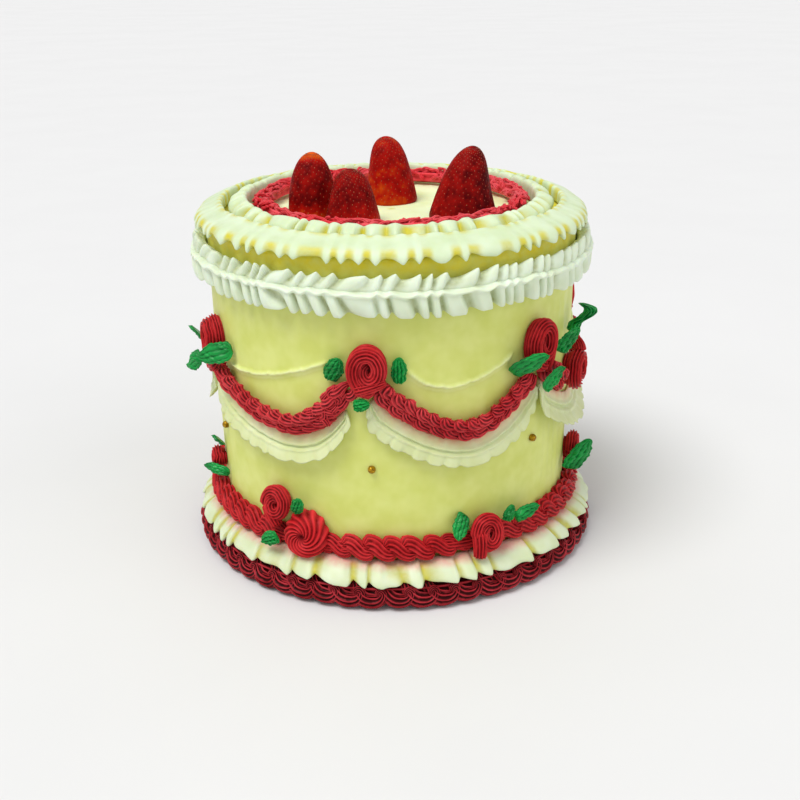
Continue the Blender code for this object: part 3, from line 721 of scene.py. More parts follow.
ruffle_piece(
    "side_ruffle_piped", "side_ruffle", SIDE_ICING, side_thin, waves=74, seed=23, peak=0.78, point=0.5,
    crest=1.0, lean=-0.75, level=168.0, uneven=0.5, swell=1.1, per_wave=18, per_side=4,
    seam=(167.6, 0.62, 2.0, 0.42),
    out_line=[(101.2, 173.2), (104.0, 175.4), (107.4, 178.0), (108.4, 175.6), (108.6, 172.0), (108.4, 169.8),
              (107.9, 169.0), (109.4, 168.6), (110.6, 167.7), (110.2, 166.6), (109.4, 165.8), (109.9, 161.4),
              (109.4, 157.4), (108.4, 155.7), (106.8, 156.4), (104.6, 159.8), (101.2, 161.0)],
    in_line=[(101.2, 173.2), (103.0, 173.4), (104.6, 174.0), (105.6, 173.0), (106.8, 171.4), (107.4, 169.8),
             (106.8, 169.0), (108.8, 168.6), (109.8, 167.6), (109.0, 166.6), (106.8, 165.6), (105.6, 161.4),
             (104.9, 158.6), (104.5, 157.8), (103.8, 158.2), (102.9, 160.0), (101.2, 161.0)])

# %% [markdown]
# At the foot a broad ribbon lies on the lowest red border like a pleated collar. Its pleats have
# flat faces and sharp ends, so the fold rises slowly and drops fast. Near the red shells it is
# stained pink.

# %% Collar at the foot
# Painted yellow shade in the dips of the collar's outer folds.
def collar_thin(share, r, z):
    return 0.9 * dip(share, 0.6) * np.clip((r - 104.0) / 3.0, 0, 1)


def collar_stain(z):
    return np.clip((z - 20.5) / 3.0, 0, 1) * 0.6


ruffle_piece(
    "foot_collar_piped", "foot_white_ruffle", COLLAR_ICING, collar_thin, collar_stain, waves=46, seed=37,
    peak=0.82, point=0.4, crest=0.6, lean=0.18, level=20.0, uneven=0.5, swell=1.2, per_wave=22,
    per_side=5,
    out_line=[(101.3, 16.9), (106.0, 16.9), (109.6, 16.0), (113.0, 14.2), (115.2, 13.2), (116.0, 14.0),
              (115.3, 16.4), (112.4, 20.0), (108.6, 23.0), (104.0, 24.3), (101.3, 24.1)],
    in_line=[(101.3, 16.9), (105.4, 16.9), (108.4, 16.4), (111.0, 15.9), (112.3, 15.9), (112.9, 16.9),
             (112.0, 18.6), (109.2, 20.2), (106.4, 22.0), (103.6, 23.6), (101.3, 24.1)])

# %% [markdown]
# The red ring on top is a tangle of short worms from a small star tip. They could be scattered by
# nodes, but a worm has to stay in the ring and under its rounded top, so each is drawn as a stroke
# in a random direction, and cut back where it would leave the ring. A plain rope inside keeps light
# from shining through the gaps.

# %% Red ring on top
def ring_angle(radius, along):
    return np.degrees(along / radius)


def rope_core(radius, z, thick, count=240):
    angle = np.arange(count) * 360.0 / count
    return around(angle, radius + 0.25 * ring_wander(angle, 3), z), np.full(count, thick), True


def red_top_ring(radius=69.6, base=BODY_TOP + 0.5, worms=390):
    draw = np.random.RandomState(41)
    strands = [rope_core(radius, base + 4.1, 4.0)]
    for k in range(worms):
        n = draw.uniform(-5.0, 5.0)
        out = 8.6 - 0.17 * n * n + draw.uniform(-0.6, 0.3)
        length = draw.uniform(5.5, 9.5)
        turn = math.radians(draw.uniform(-48, 48)) + (0 if draw.rand() < 0.7 else math.pi)
        along = 2 * math.pi * radius * (k + draw.uniform(-0.4, 0.4)) / worms
        du, dn = 0.5 * length * math.cos(turn), 0.5 * length * math.sin(turn)
        n0, n1 = np.clip([n - dn, n + dn], -5.6, 5.6)
        tip = out + draw.uniform(-0.4, 1.5)
        s, across, rise, size = stroke((along - du, n0, out - 1.6), (along + du, n1, tip),
                                       draw.uniform(0.95, 1.4), 0.55, bend=draw.uniform(-1.5, 1.5), steps=9)
        rise = np.minimum(rise, 10.3 - 0.13 * across ** 2)
        strands.append((around(ring_angle(radius, s), radius + across, base + rise), size, False))
    return piped("red_ring_on_top", strands, PINK_RED_ICING, teeth=5, root=0.66)


finish_piece(red_top_ring(), PINK_RED_ICING, ["top_red_shells"])

# %% [markdown]
# The lowest border swings down, comes up again and curls back on itself, over and over. It could be
# one endless path, but then every swing would be the same. So one swing is drawn by a few points,
# smoothed, and piped again and again round the foot, each a little different.

# %% Red border at the foot
def smooth_path(points, steps):
    """A smooth line through the given points, each with as many numbers as it needs."""
    p = np.array(points, float)
    p = np.concatenate([2 * p[:1] - p[1:2], p, 2 * p[-1:] - p[-2:-1]])
    t = np.linspace(0, len(points) - 1, steps)
    i = np.minimum(t.astype(int), len(points) - 2)
    f = (t - i)[:, None]
    a, b, c, d = p[i], p[i + 1], p[i + 2], p[i + 3]
    return 0.5 * (2 * b + (c - a) * f + (2 * a - 5 * b + 4 * c - d) * f ** 2
                  + (3 * b - a - 3 * c + d) * f ** 3)


# One swing of the bag: along, height, radius of its middle and thickness.
SWING = [(-8.6, 12.8, 108.8, 3.2), (-6.8, 8.8, 110.6, 4.2), (-3.0, 5.6, 112.0, 4.9),
         (1.8, 4.9, 112.3, 4.6), (5.2, 6.0, 112.6, 3.7), (6.9, 8.8, 113.0, 2.5), (5.8, 11.0, 113.0, 2.0),
         (4.0, 10.0, 113.6, 1.6), (4.4, 8.4, 114.2, 1.0)]


def red_foot_ring(radius=112.0, units=56):
    draw = np.random.RandomState(47)
    strands = [rope_core(107.4, 8.0, 6.6)]
    swing = smooth_path(SWING, 25)
    for k in range(units):
        size = 1.0 + draw.uniform(-0.06, 0.03)
        along = swing[:, 0] * size + 2 * math.pi * radius * (k + draw.uniform(-0.1, 0.1)) / units
        height = np.maximum(swing[:, 1] + draw.uniform(-0.2, 0.5), swing[:, 3] * size + 0.1)
        points = around(ring_angle(radius, along), swing[:, 2] + draw.uniform(-0.3, 0.1), height)
        strands.append((points, swing[:, 3] * size, False))
    return piped("red_border_on_the_board", strands, DARK_RED_ICING, teeth=10, root=0.68)


finish_piece(red_foot_ring(), DARK_RED_ICING, ["foot_red_ruffle"])

# %% [markdown]
# Above the collar, shells lie over one another like a twisted rope. Each is a long slanting stroke
# that starts fat and ends thin under the next one. A twisted torus could stand for them, but its
# strands would never end. Where a rose is piped over the ring, the shells are smaller and lie lower.

# %% Red shells above the collar
# The middle of each dip and half its width, in degrees.
FOOT_DIPS = [(-26.1, 8.5), (25.3, 8.5), (146.0, 8.5), (214.0, 8.5)]


def red_shell_ring(radius=105.0, units=62):
    pitch = 2 * math.pi * radius / units
    strands = [rope_core(102.6, 29.6, 3.6)]
    draw = np.random.RandomState(53)
    for k in range(units):
        along = pitch * (k + draw.uniform(-0.12, 0.12))
        near = 0.0
        for centre, half in FOOT_DIPS:
            away = abs((360.0 * (k + 0.35) / units - centre + 180.0) % 360.0 - 180.0)
            near = max(near, min(1.0, max(0.0, 1.7 - away / half)))
        thick = (5.3 + draw.uniform(-0.3, 0.2)) * (1 - 0.45 * near)
        s, n, _, size = stroke((along - 7.0, -1.6 + draw.uniform(-0.4, 0.4), 0.0),
                               (along + 9.5, 2.2, 1.2), thick, 3.0, bend=-1.4, steps=15)
        out = 0.30 * n - 3.0 * near
        points = around(ring_angle(radius, s), 104.4 + out - 0.45 * (size - 4.0), 30.4 - n)
        strands.append((points, size, False))
    return piped("red_shell_ring", strands, RED_ICING, teeth=10, root=0.66)


finish_piece(red_shell_ring(), RED_ICING, ["foot_red_shells"])

# %% [markdown]
# The garlands are feathered: short strokes laid over each other like scales along a hanging curve,
# in an upper row and a smaller lower row, and towards the end they turn into a tangle. A rope with a
# bumpy texture would lose the scales' edges, so each stroke is piped for itself over a plain core.

# %% Garlands
GARLANDS = [
    Hanging(-67.0, 6.0, 96.0, 60.0, 95.6, 14.5, 26.5, 1.5, 2.3),
    Hanging(-6.6, 9.1, 83.2, 50.0, 94.4, 20.7, 19.7, 1.8, 1.6),
    Hanging(44.5, 9.1, 99.3, 54.0, 94.6, 20.5, 19.0, 1.8, 1.8),
    Hanging(106.6, 9.1, 99.5, 54.0, 94.0, 20.0, 21.0, 1.8, 1.8),
    Hanging(168.8, 9.1, 99.3, 52.0, 95.2, 20.5, 19.0, 1.8, 1.8),
    Hanging(230.9, 9.1, 98.0, 54.0, 94.5, 20.0, 17.5, 1.8, 1.8),
]
# The shares of each curve between which its garland is piped.
GARLAND_SPANS = [(0.05, 0.955), (0.0, 1.0), (0.56, 1.0), (0.0, 1.0), (0.0, 1.0), (0.0, 1.0)]
# For each row: where its strokes start and end across, their height, thickness and shift.
FEATHER_ROWS = ((1.1, 6.8, 3.0, 3.3, 0.4), (-4.8, 1.7, 4.6, 3.9, 0.0))
FEATHER_PITCH = 7.0


def garland(name, node, curve, first, last, seed, curls=0):
    """Feathers over a plain core from first to last along the curve, and curls over its end."""
    draw = np.random.RandomState(seed)
    s = np.linspace(first + 1, last - 1, 40)
    strands = [(curve.place(s, 0.4 + 0.0 * s, 2.6 + 0.0 * s), np.full(40, 3.2), False)]
    count = max(2, int(round((last - first) / FEATHER_PITCH)))
    pitch = (last - first) / count
    for k in range(count + 1):
        for n0, n1, rise, thick, shift in FEATHER_ROWS:
            s0 = first + pitch * (k - 0.6 + shift) + draw.uniform(-0.9, 0.9)
            tangle = 1.3 * np.clip((s0 / curve.length - 0.72) / 0.2, 0, 1)
            low = n0 + draw.uniform(-0.4, 0.4) + tangle * draw.uniform(-0.2, 1.0)
            high = n1 + draw.uniform(-0.3, 0.3) - tangle * draw.uniform(-0.2, 1.6)
            thick = thick * (1.25 if k < 2 else 1.0) + draw.uniform(-0.3, 0.25)
            s, n, out, size = stroke((s0 - 1.5, low, rise + 0.3), (s0 + 7.6, high, rise - 1.9), thick, 1.1,
                                     bend=draw.uniform(0.3, 1.3))
            strands.append((curve.place(np.clip(s, first - 3, last + 3), n, out), size, False))
    for k in range(curls):
        s0 = last - 26.0 + 22.0 * (k + draw.uniform(-0.3, 0.3)) / curls
        n0 = draw.uniform(-4.5, 3.5)
        turn = math.radians(draw.uniform(-55, 55))
        s, n, out, size = stroke((s0, n0, 4.0), (s0 + 6.0 * math.cos(turn), n0 + 6.0 * math.sin(turn), 4.2),
                                 draw.uniform(2.2, 3.1), 1.2, bend=draw.uniform(-1.8, 1.8))
        strands.append((curve.place(np.clip(s, first, last), np.clip(n, -5.2, 5.6), out), size, False))
    finish_piece(piped(name, strands, GARLAND_HIGHLIT_ICING, teeth=9, root=0.62), GARLAND_HIGHLIT_ICING,
                 [node])


for k, curve in enumerate(GARLANDS):
    first, last = GARLAND_SPANS[k]
    garland(f"garland_{k + 1}_piped", f"red_garland_{k + 1}", curve, curve.length * first,
            curve.length * last, 61 + k, curls=12 if k == 0 else 4)
# A rose cuts the third garland in two, so its short start is a piece of its own.
garland("garland_7_piped", "red_garland_7", GARLANDS[2], 2.2, GARLANDS[2].length * 0.2, 71)

# %% [markdown]
# Below each garland hangs a thin white frill with a raised seam and a pleated edge that stands off
# the cake. A flat strip with a Solidify modifier could do, but the edge is thinner than the root. So
# the section runs out along the front and back along the underside, and the pleats grow to the edge.

# %% Frills below the garlands
# For each frill: the shares of the curve where it starts and ends, its width at the start, in the
# middle and at the end, and how far its edge stands off, in mm.
HEMS = [(0.02, 0.86, 12.6, 12.6, 4.5, 6.6), (0.0, 1.0, 12.6, 12.6, 10.0, 5.0),
        (0.05, 0.95, 14.0, 15.0, 9.0, 10.0), (0.03, 0.95, 10.0, 12.6, 9.0, 6.0),
        (0.03, 0.95, 10.0, 12.6, 9.0, 6.0), (0.03, 0.97, 10.0, 12.6, 9.0, 6.0)]

PLEAT_PITCH = 7.4


def frill(name, curve, first, last, wide_first, wide, wide_last, stand, seed):
    """A strip below a curve, with a seam along it and pleats that grow towards its edge."""
    first = first - 4.0
    rows = int((last - first) / 0.55)
    part = np.linspace(0, 1, rows)
    s = first + (last - first) * part
    near = np.minimum(1.0, part / 0.22)
    far = np.minimum(1.0, (1.0 - part) / 0.22)
    width = np.minimum(wide_first + (wide - wide_first) * near, wide_last + (wide - wide_last) * far)
    width = width * np.sqrt(np.clip(part / 0.10, 0.12, 1)) * np.sqrt(np.clip((1 - part) / 0.03, 0.12, 1))
    lift = stand * (0.5 + 0.5 * np.minimum(near, far))
    turn = 2 * math.pi * s / PLEAT_PITCH + 1.3 * wander(s, seed, 16.0)
    pleat = 0.4 - (0.5 + 0.5 * np.cos(turn)) ** 2.5
    v = np.linspace(0, 1, 26)
    front = 1.2 + 2.6 * np.sin(v * 1.5) ** 0.8
    seam = 1.1 * np.exp(-((v - 0.40) / 0.05) ** 2) - 0.8 * np.exp(-((v - 0.50) / 0.045) ** 2)
    seam = seam + 1.0 * np.exp(-((v - 0.60) / 0.05) ** 2)
    edge = np.clip((v - 0.5) / 0.5, 0, 1)
    n_front = 6.4 + (width + 1.3)[:, None] * v[None, :]
    n_front = n_front + (0.9 * pleat)[:, None] * edge[None, :] ** 2
    h_front = front[None, :] * (1 - edge[None, :] ** 1.5) + seam[None, :]
    h_front = h_front + (lift + 1.1 * pleat)[:, None] * edge[None, :] ** 1.2
    h_front = h_front + 0.4 * pleat[:, None] * np.clip(v / 0.3, 0, 1) * (1 - edge)
    h_back = np.maximum(0.12, h_front[:, ::-1] - 1.0 - 2.4 * (1 - edge[::-1])[None, :])
    n = np.concatenate([n_front, n_front[:, ::-1][:, 1:]], axis=1)
    h = np.concatenate([h_front, h_back[:, 1:]], axis=1)
    net = curve.place(np.broadcast_to(s[:, None], n.shape), n, h)
    stain = np.concatenate([1 - v, (1 - v)[::-1][1:]])
    stain = np.broadcast_to(np.clip(stain - 0.62, 0, 1) / 0.38 * 0.55, n.shape)
    thin = np.broadcast_to(np.concatenate([edge, edge[::-1][1:]])[None, :], n.shape) * 0.25
    return net_object(name, net, attributes={"stain": stain, "thin": thin})


for k, (curve, (first, last, *widths_and_stand)) in enumerate(zip(GARLANDS, HEMS)):
    made = frill(f"frill_{k + 1}_piped", curve, curve.length * first, curve.length * last,
                 *widths_and_stand, 81 + k)
    finish_piece(made, FRILL_ICING, [f"white_frill_{k + 1}"])

# %% [markdown]
# A rose here is a rosette: one long squeeze in a spiral from a sunken middle outwards, and some get a
# last stroke across. A lathe could turn rings, but rings don't wind. The same star tip follows the
# spiral, and a second strand inside fills the hollow. Those at the foot lie over the ring of
# shells, so their backs stand off the side.

# %% Rosettes
def rosette(name, nodes, angle, z, half_w, half_h, deep, seed, tail=-75.0, foot=0.0, lean=0.0, thick=4.2,
            last=None, teeth=13):
    """One spiral from a deep-set eye outwards; last is where a final stroke starts and ends."""
    t = np.linspace(0, 1, 120)
    turn = math.radians(tail) + 0.3 - 2 * math.pi * 1.75 * (1 - t)
    inner_w = half_w - thick
    inner_h = half_h - thick
    grow = np.clip(0.12 + 0.88 * t ** 0.85, 0, 1)
    u = inner_w * grow * np.cos(turn)
    v = inner_h * grow * np.sin(turn)
    eye = np.exp(-(t / 0.24) ** 2)
    h = deep - thick * 0.98 - 1.5 * t ** 1.5 - 3.2 * eye + 0.15 * wander(t * 6, seed)
    ends = np.clip(t / 0.06, 0.35, 1) * np.clip((1 - t) / 0.05, 0.3, 1)
    size = thick * (0.52 + 0.48 * np.clip(t / 0.4, 0, 1)) * ends
    back = np.maximum(0.0, foot - lean * v)
    # The eye and the strand that fills it get painted shade near the middle.
    strands = [(on_side(angle, u, z + v, h + back), size, False, eye)]
    t = np.linspace(0, 1, 60)
    turn = 1.0 + seed + 2 * math.pi * 1.3 * t
    u = (inner_w - 0.5) * t ** 0.8 * np.cos(turn)
    v = (inner_h - 0.5) * t ** 0.8 * np.sin(turn)
    back = np.maximum(0.0, foot - lean * v)
    strands.append((on_side(angle, u, z + v, deep * 0.27 + back), np.full(60, thick * 0.86), False,
                    np.clip(1.1 - 1.8 * t, 0, 1)))
    if last:
        u, v, h, size = stroke(*last, steps=18)
        back = np.maximum(0.0, foot - lean * v)
        strands.append((on_side(angle, u, z + v, h + back), size, False))
    finish_piece(piped(name, strands, RED_ICING, teeth=teeth, root=0.68), RED_ICING,
                 nodes)


ROSE_HEIGHTS = [124.0, 129.0, 131.0, 128.0, 129.0, 127.5]
# Where the last stroke of a rose starts and ends, with its thickness there.
ROSE_LAST = ((-6.6, -10.4, 5.4), (8.0, -5.0, 6.6), 4.0, 2.6)
THIRD_LAST = ((5.5, -2.0, 5.2), (3.0, -16.5, 4.4), 3.8, 2.8)
for k, angle in enumerate(ROSE_ANGLES):
    rosette(f"rose_{k + 1}_piped", [f"rose_{k + 1}"], angle, ROSE_HEIGHTS[k], 12.0,
            16.2 if k == 2 else 15.0, 10.5, 131 + k, last=THIRD_LAST if k == 2 else ROSE_LAST)
rosette("rose_7_piped", ["rose_7"], 69.0, 104.4, 12.0, 13.2, 12.0, 141,
        last=((0.5, 9.0, 8.0), (3.5, 15.0, 4.0), 3.4, 2.8))

# %% [markdown]
# Near the foot, some roses are spirals and others swirls: a star tip turned on the spot, whose teeth
# leave rays that curve out from the middle. A swirl could be piped as a very tight spiral, but its
# rays come from the turn of the tip, so they are drawn into a dome as a wave that twists outwards.

# %% Roses at the foot
def swirl(name, nodes, angle, z, half_w, half_h, deep, seed, foot, lean, rays=12, twist=3.0):
    share = np.sin(np.linspace(0.02, 1.0, 60) * math.pi / 2)[:, None]
    turn = (np.arange(270) * 2 * math.pi / 270)[None, :]
    ray = 0.5 + 0.5 * np.cos(rays * (turn - twist * share ** 0.8) + seed)
    h = deep * np.sqrt(np.clip(1.0 - share ** 3.4, 0, 1)) * (0.86 + 0.14 * ray * np.clip(share / 0.3, 0, 1))
    eye = np.exp(-(share / 0.17) ** 2) + 0.0 * turn
    h = np.maximum(0.15, h - 2.6 * eye)
    out = share * (1.0 + 0.08 * (ray - 0.5) * share)
    u, v = half_w * out * np.cos(turn), half_h * out * np.sin(turn)
    back = np.maximum(0.0, foot - lean * v)
    # Painted shade in the grooves between the rays and in the eye.
    made = net_object(name, on_side(angle, u, z + v, h + back), attributes={
        "groove": 0.75 * (1.0 - ray) * np.clip(share / 0.2, 0, 1), "eye_shade": eye})
    finish_piece(made, RED_ICING, nodes)


# Angle, height, half width and half height, depth, how far the back stands off, and the tail's turn.
FOOT_ROSES = [(-36.1, 47.8, 10.4, 11.4, 9.5, 1.2, 200.0), (-26.3, 34.9, 11.8, 12.2, 9.2, 3.6, 230.0),
              (26.4, 34.9, 10.0, 12.6, 9.6, 3.6, 190.0), (78.0, 50.5, 9.0, 10.0, 9.5, 0.0, 200.0),
              (-75.0, 48.2, 7.6, 7.8, 9.0, 0.0, 200.0), (136.5, 49.5, 9.6, 10.4, 9.5, 0.0, 200.0),
              (146.0, 36.4, 10.4, 10.6, 9.2, 3.6, 250.0), (214.0, 36.5, 10.4, 10.6, 9.6, 3.6, 200.0)]
FOOT_LAST = {0: ((-5.0, -1.0, 4.4), (2.2, -11.6, 4.4), 4.2, 3.2),
             2: ((-4.6, 2.0, 4.6), (-5.6, -12.0, 4.6), 4.4, 3.4)}
SWIRLED = (1, 6)
for k, (angle, z, half_w, half_h, deep, foot, tail) in enumerate(FOOT_ROSES):
    name, nodes, lean = f"foot_rose_{k + 1}_piped", [f"foot_rose_{k + 1}"], 0.2 if foot else 0.0
    if k in SWIRLED:
        swirl(name, nodes, angle, z, half_w, half_h, deep, k, foot, lean)
    else:
        rosette(name, nodes, angle, z, half_w, half_h, deep, 151 + k, tail=tail, foot=foot, lean=lean,
                thick=3.5, last=FOOT_LAST.get(k), teeth=11)

# %% [markdown]
# A leaf tip is cut to a V. It squeezes out a ribbed tongue, frills a little at its edges and is
# pulled off at the end, sometimes to one side. A flat leaf with a vein texture would look like a
# paper one, so each is a skin over a net, with ribs, lumps and a lift off the cake.

# %% The shape of a leaf
def leaf(name, angle, z, heading, length, width, start, lift, power, roll, turn, curl, seed):
    """Start and lift are its height off the side, heading, roll and turn are in degrees."""
    rows, across = 34, 49
    part = (np.linspace(0.0, 1.0, rows)[:, None]) ** 0.9
    side = np.linspace(-1.0, 1.0, across)[None, :]
    outline = (1.0 - part ** 5.0) ** 0.5 * (0.80 + 0.20 * np.sin(math.pi * np.clip(part / 0.9, 0, 1)))
    outline = outline * np.clip(0.55 + part / 0.12, 0, 1)
    half = 0.53 * width * np.maximum(outline, 0.04) * (1.0 + 0.09 * wander(part * 3, seed) * np.sign(side))
    rib = np.abs(np.sin(math.pi * (2.0 * side + 0.5) + 0.25 * wander(part * 1.2, seed + 1))) ** 0.7
    dome = np.sqrt(np.clip(1.0 - np.abs(side) ** 2.4, 0, 1))
    thin = np.clip(1.25 - 0.6 * part, 0.62, 1.0) + 0.12 * curl * part ** 3
    lumps = 0.65 * wander(part * 2.6 + 0.8 * side, seed + 2)
    lumps = lumps + 0.30 * np.sin(part * length * 1.5 + 1.5 * side + seed) * np.abs(side)
    above = (1.5 * dome + (1.15 * rib + lumps) * dome ** 0.5) * thin
    below = 0.12 + 0.25 * (1 - dome)
    rate = math.radians(turn if turn else 1.0)
    bend = rate * part
    along = length * np.sin(bend) / rate - 0.5 * (1 - rib) * np.clip(part - 0.8, 0, 1) * 4
    along = along - 0.35 * curl * np.clip(part - 0.55, 0, 1) ** 2 * 9
    aside = length * (1.0 - np.cos(bend)) / rate
    left_side = half * side
    rise = start + lift * part ** power + curl * np.sin(math.pi * np.clip(1.25 * part - 0.25, 0, 1)) ** 1.5
    cr, sr = math.cos(math.radians(roll)), math.sin(math.radians(roll))
    c, s = math.cos(math.radians(heading)), math.sin(math.radians(heading))

    def skin(over):
        over_side = left_side * cr + over * sr
        height = rise - left_side * sr + over * cr
        ahead, left = along - over_side * np.sin(bend), aside + over_side * np.cos(bend)
        return on_side(angle, ahead * c - left * s, z + ahead * s + left * c, height)

    net = np.concatenate([skin(above + 0.2), skin(below - 0.1)[:, ::-1]], axis=1)
    # Painted shade in the grooves between the ribs.
    groove = np.clip(1.0 - rib / 0.55, 0, 1) * dome
    return net_object(name, net, attributes={"groove": np.concatenate([groove, 0 * groove], axis=1)})


print("leaves can be piped")

# %% [markdown]
# Each leaf has its own place, because leaves fill gaps beside the roses and never follow a rule. One
# row of numbers for each is shorter and easier to mend than a mesh for each.

# %% Leaves
# Angle, height, heading, length, width, start and lift off the side, power of the lift, and roll.
LEAVES = [
    (-18.2, 122.0, 60, 14.0, 9.0, 0.35, 4.0, 1.4, 0), (1.5, 121.3, 90, 14.4, 7.2, 0.35, 4.0, 1.4, 0),
    (-10.4, 110.6, 18, 7.5, 6.4, 6.0, 1.0, 1.4, 0), (35.2, 118.8, 46, 15.4, 10.5, 1.6, 12.5, 0.8, 0),
    (56.5, 120.0, 58, 14.5, 9.5, 3.6, 7.0, 1.2, 25), (43.8, 108.0, 38, 15.0, 8.0, 9.9, 2.0, 1.4, 0),
    (67.5, 125.5, 88, 20.5, 7.6, 4.0, 3.0, 1.4, 62), (-55.0, 124.4, 205, 14.0, 10.5, 1.8, 12.4, 0.8, 0),
    (-77.5, 115.5, 96, 10.5, 9.0, 3.0, 9.5, 1.0, 0), (-69.5, 113.0, 208, 13.0, 9.5, 10.4, 5.0, 1.0, 0),
    (-29.2, 47.0, 64, 10.5, 6.6, 5.4, 3.0, 1.0, 0), (-33.4, 33.4, 212, 10.5, 7.4, 12.1, 0.5, 1.4, 0),
    (20.6, 45.4, 228, 12.0, 8.6, 1.0, 7.6, 0.9, 0), (33.5, 38.0, 82, 9.5, 6.2, 5.4, 2.0, 1.0, 0),
    (69.6, 42.0, 62, 18.0, 12.5, 5.2, 9.0, 0.9, 50), (-73.0, 57.2, 95, 6.0, 7.0, 0.5, 5.5, 1.0, 0),
    (-67.5, 44.0, 176, 12.0, 6.5, 0.8, 10.5, 0.8, 0), (36.6, 37.4, 22, 13.0, 8.4, 5.6, 4.0, 1.0, 0)]
# Some leaves turn to one side as they are pulled off, by so many degrees, and one curls over.
LEAF_TURNS = {4: 15.0, 3: -8.0, 9: 30.0, 12: 20.0}
LEAF_CURLS = {6: 7.0}

for k, values in enumerate(LEAVES):
    made = leaf(f"leaf_{k + 1}_piped", *values, turn=LEAF_TURNS.get(k, 0.0), curl=LEAF_CURLS.get(k, 0.0),
                seed=k)
    finish_piece(made, GREEN_ICING, [f"leaf_{k + 1}"])

# %% [markdown]
# A ripe strawberry is deep crimson, orange where a leaf or a neighbour shaded it, and moist. Its
# skin could be one red with gloss, but the eye knows a strawberry by these changes. So each berry
# says how ripe it is at each point, and the colour runs through three tones with soft spots.

# %% Strawberry skin and pips
def strawberry_skin():
    mat, tree, shader, place = new_material("strawberry_skin")
    ripe = add_node(tree, "ShaderNodeAttribute", {"attribute_name": "ripe"}).outputs["Fac"]
    spots = patches(tree, place, 5.0, 6.0, 0.3, 0.7, -0.22, 0.22)
    sure = add_node(tree, "ShaderNodeMath", {"operation": "ADD", "use_clamp": True}, i0=ripe,
                    i1=spots).outputs[0]
    colour = "#d4560e"
    for low, tone in ((0.0, "#a8120a"), (0.5, "#4e0306")):
        share = add_node(tree, "ShaderNodeMapRange", i0=sure, i1=low, i2=low + 0.5).outputs[0]
        colour = add_node(tree, "ShaderNodeMix", {"data_type": "RGBA"}, i0=share, i6=colour,
                          i7=tone).outputs[2]
    plug(tree, shader, {
        "Base Color": colour, "Roughness": patches(tree, place, 1.6, 2.0, 0.3, 0.7, 0.38, 0.55),
        "Normal": fine_marks(tree, place, 0.8, 3.0, 0.7, 0.05), "Subsurface Weight": 0.08,
        "Subsurface Radius": (1.0, 0.25, 0.15), "Subsurface Scale": 2.0 * MM,
        "Specular IOR Level": 0.04})
    return mat


STRAWBERRY_SKIN = strawberry_skin()
# The dry fruits on the skin: straw-coloured, some of them red.
PIP_SHELL = two_tones("strawberry_pips", 3.0, 2.0, "#a65c36", "#7c2418", 0.4, 0.55)
print("berries wear", STRAWBERRY_SKIN.name, "and", PIP_SHELL.name)

# %% [markdown]
# The pips are hundreds of tiny seeds that all look alike. Copies could be placed one by one, but a
# node tree puts one on each point of a mesh, turned to the skin and with its own size, and merges
# them into one mesh. Each has only twenty faces, since it is less than a millimetre long.

# %% The pips as a node tree
def pips_tree():
    tree, given = new_tree("strawberry_pips", {"Places": "Geometry", "Pip length": "Float", "Seed": "Int",
                                               "Shell": "Material"}, "Pips")
    points = add_node(tree, "GeometryNodeMeshToPoints", Mesh=given["Places"]).outputs[0]
    facing = add_node(tree, "GeometryNodeInputNamedAttribute", {"data_type": "FLOAT_VECTOR"}, Name="facing")
    upward = add_node(tree, "GeometryNodeInputNamedAttribute", {"data_type": "FLOAT_VECTOR"}, Name="upward")
    turn = add_node(tree, "FunctionNodeAxesToRotation", {"primary_axis": "Z", "secondary_axis": "Y"},
                    Primary_Axis=facing.outputs["Attribute"], Secondary_Axis=upward.outputs["Attribute"])
    ball = add_node(tree, "GeometryNodeMeshIcoSphere", Radius=0.5, Subdivisions=1).outputs[0]
    shape = add_node(tree, "ShaderNodeCombineXYZ", X=0.62, Y=1.0, Z=0.42).outputs[0]
    size = add_node(tree, "ShaderNodeVectorMath", {"operation": "SCALE"}, Vector=shape,
                    Scale=given["Pip length"]).outputs[0]
    ball = add_node(tree, "GeometryNodeTransform", Geometry=ball, Scale=size).outputs[0]
    spread = add_node(tree, "FunctionNodeRandomValue", {"data_type": "FLOAT"}, i2=0.75, i3=1.15,
                      Seed=given["Seed"]).outputs[1]
    pips = add_node(tree, "GeometryNodeInstanceOnPoints", Points=points, Instance=ball,
                    Rotation=turn.outputs[0], Scale=spread).outputs[0]
    end_tree(tree, pips, given["Shell"])
    return tree


PIPS = pips_tree()
print("the pips' tree has", len(PIPS.nodes), "nodes")

# %% [markdown]
# A strawberry tapers from a broad shoulder to a blunt tip, and each pip sits in its own dimple. The
# dimples could be bump alone, but they break the outline of the berry. The pips follow a spiral with
# the golden angle, which spreads them evenly, and the skin is pressed in near each of them.

# %% The shape of a strawberry
GOLDEN_ANGLE = 2.39996
DIMPLE_WIDTH = 0.62
DIMPLE_DEPTH = 0.30
PIPS_PER_MM = 14.0


def berry_points(turn, part, x, y, width, tall, lean, taper, power):
    """Points of the berry's skin at a turn and a share of its height."""
    share = np.sqrt(1.0 - np.clip(part, 0, 1) ** power) * (1.0 - taper * part)
    share = share * (1.0 - 0.05 * np.exp(-part / 0.025))
    soft = 1.0 + 0.025 * np.sin(2.0 * turn + x) + 0.012 * np.sin(3 * turn + y + 3 * part)
    radius = 0.5 * width * share * soft * 0.985
    px = x + radius * np.cos(turn) + lean[0] * part * part
    py = y + radius * np.sin(turn) + lean[1] * part * part
    return np.stack([px, py, BODY_TOP - 0.1 + (tall - 0.3) * part], axis=-1)


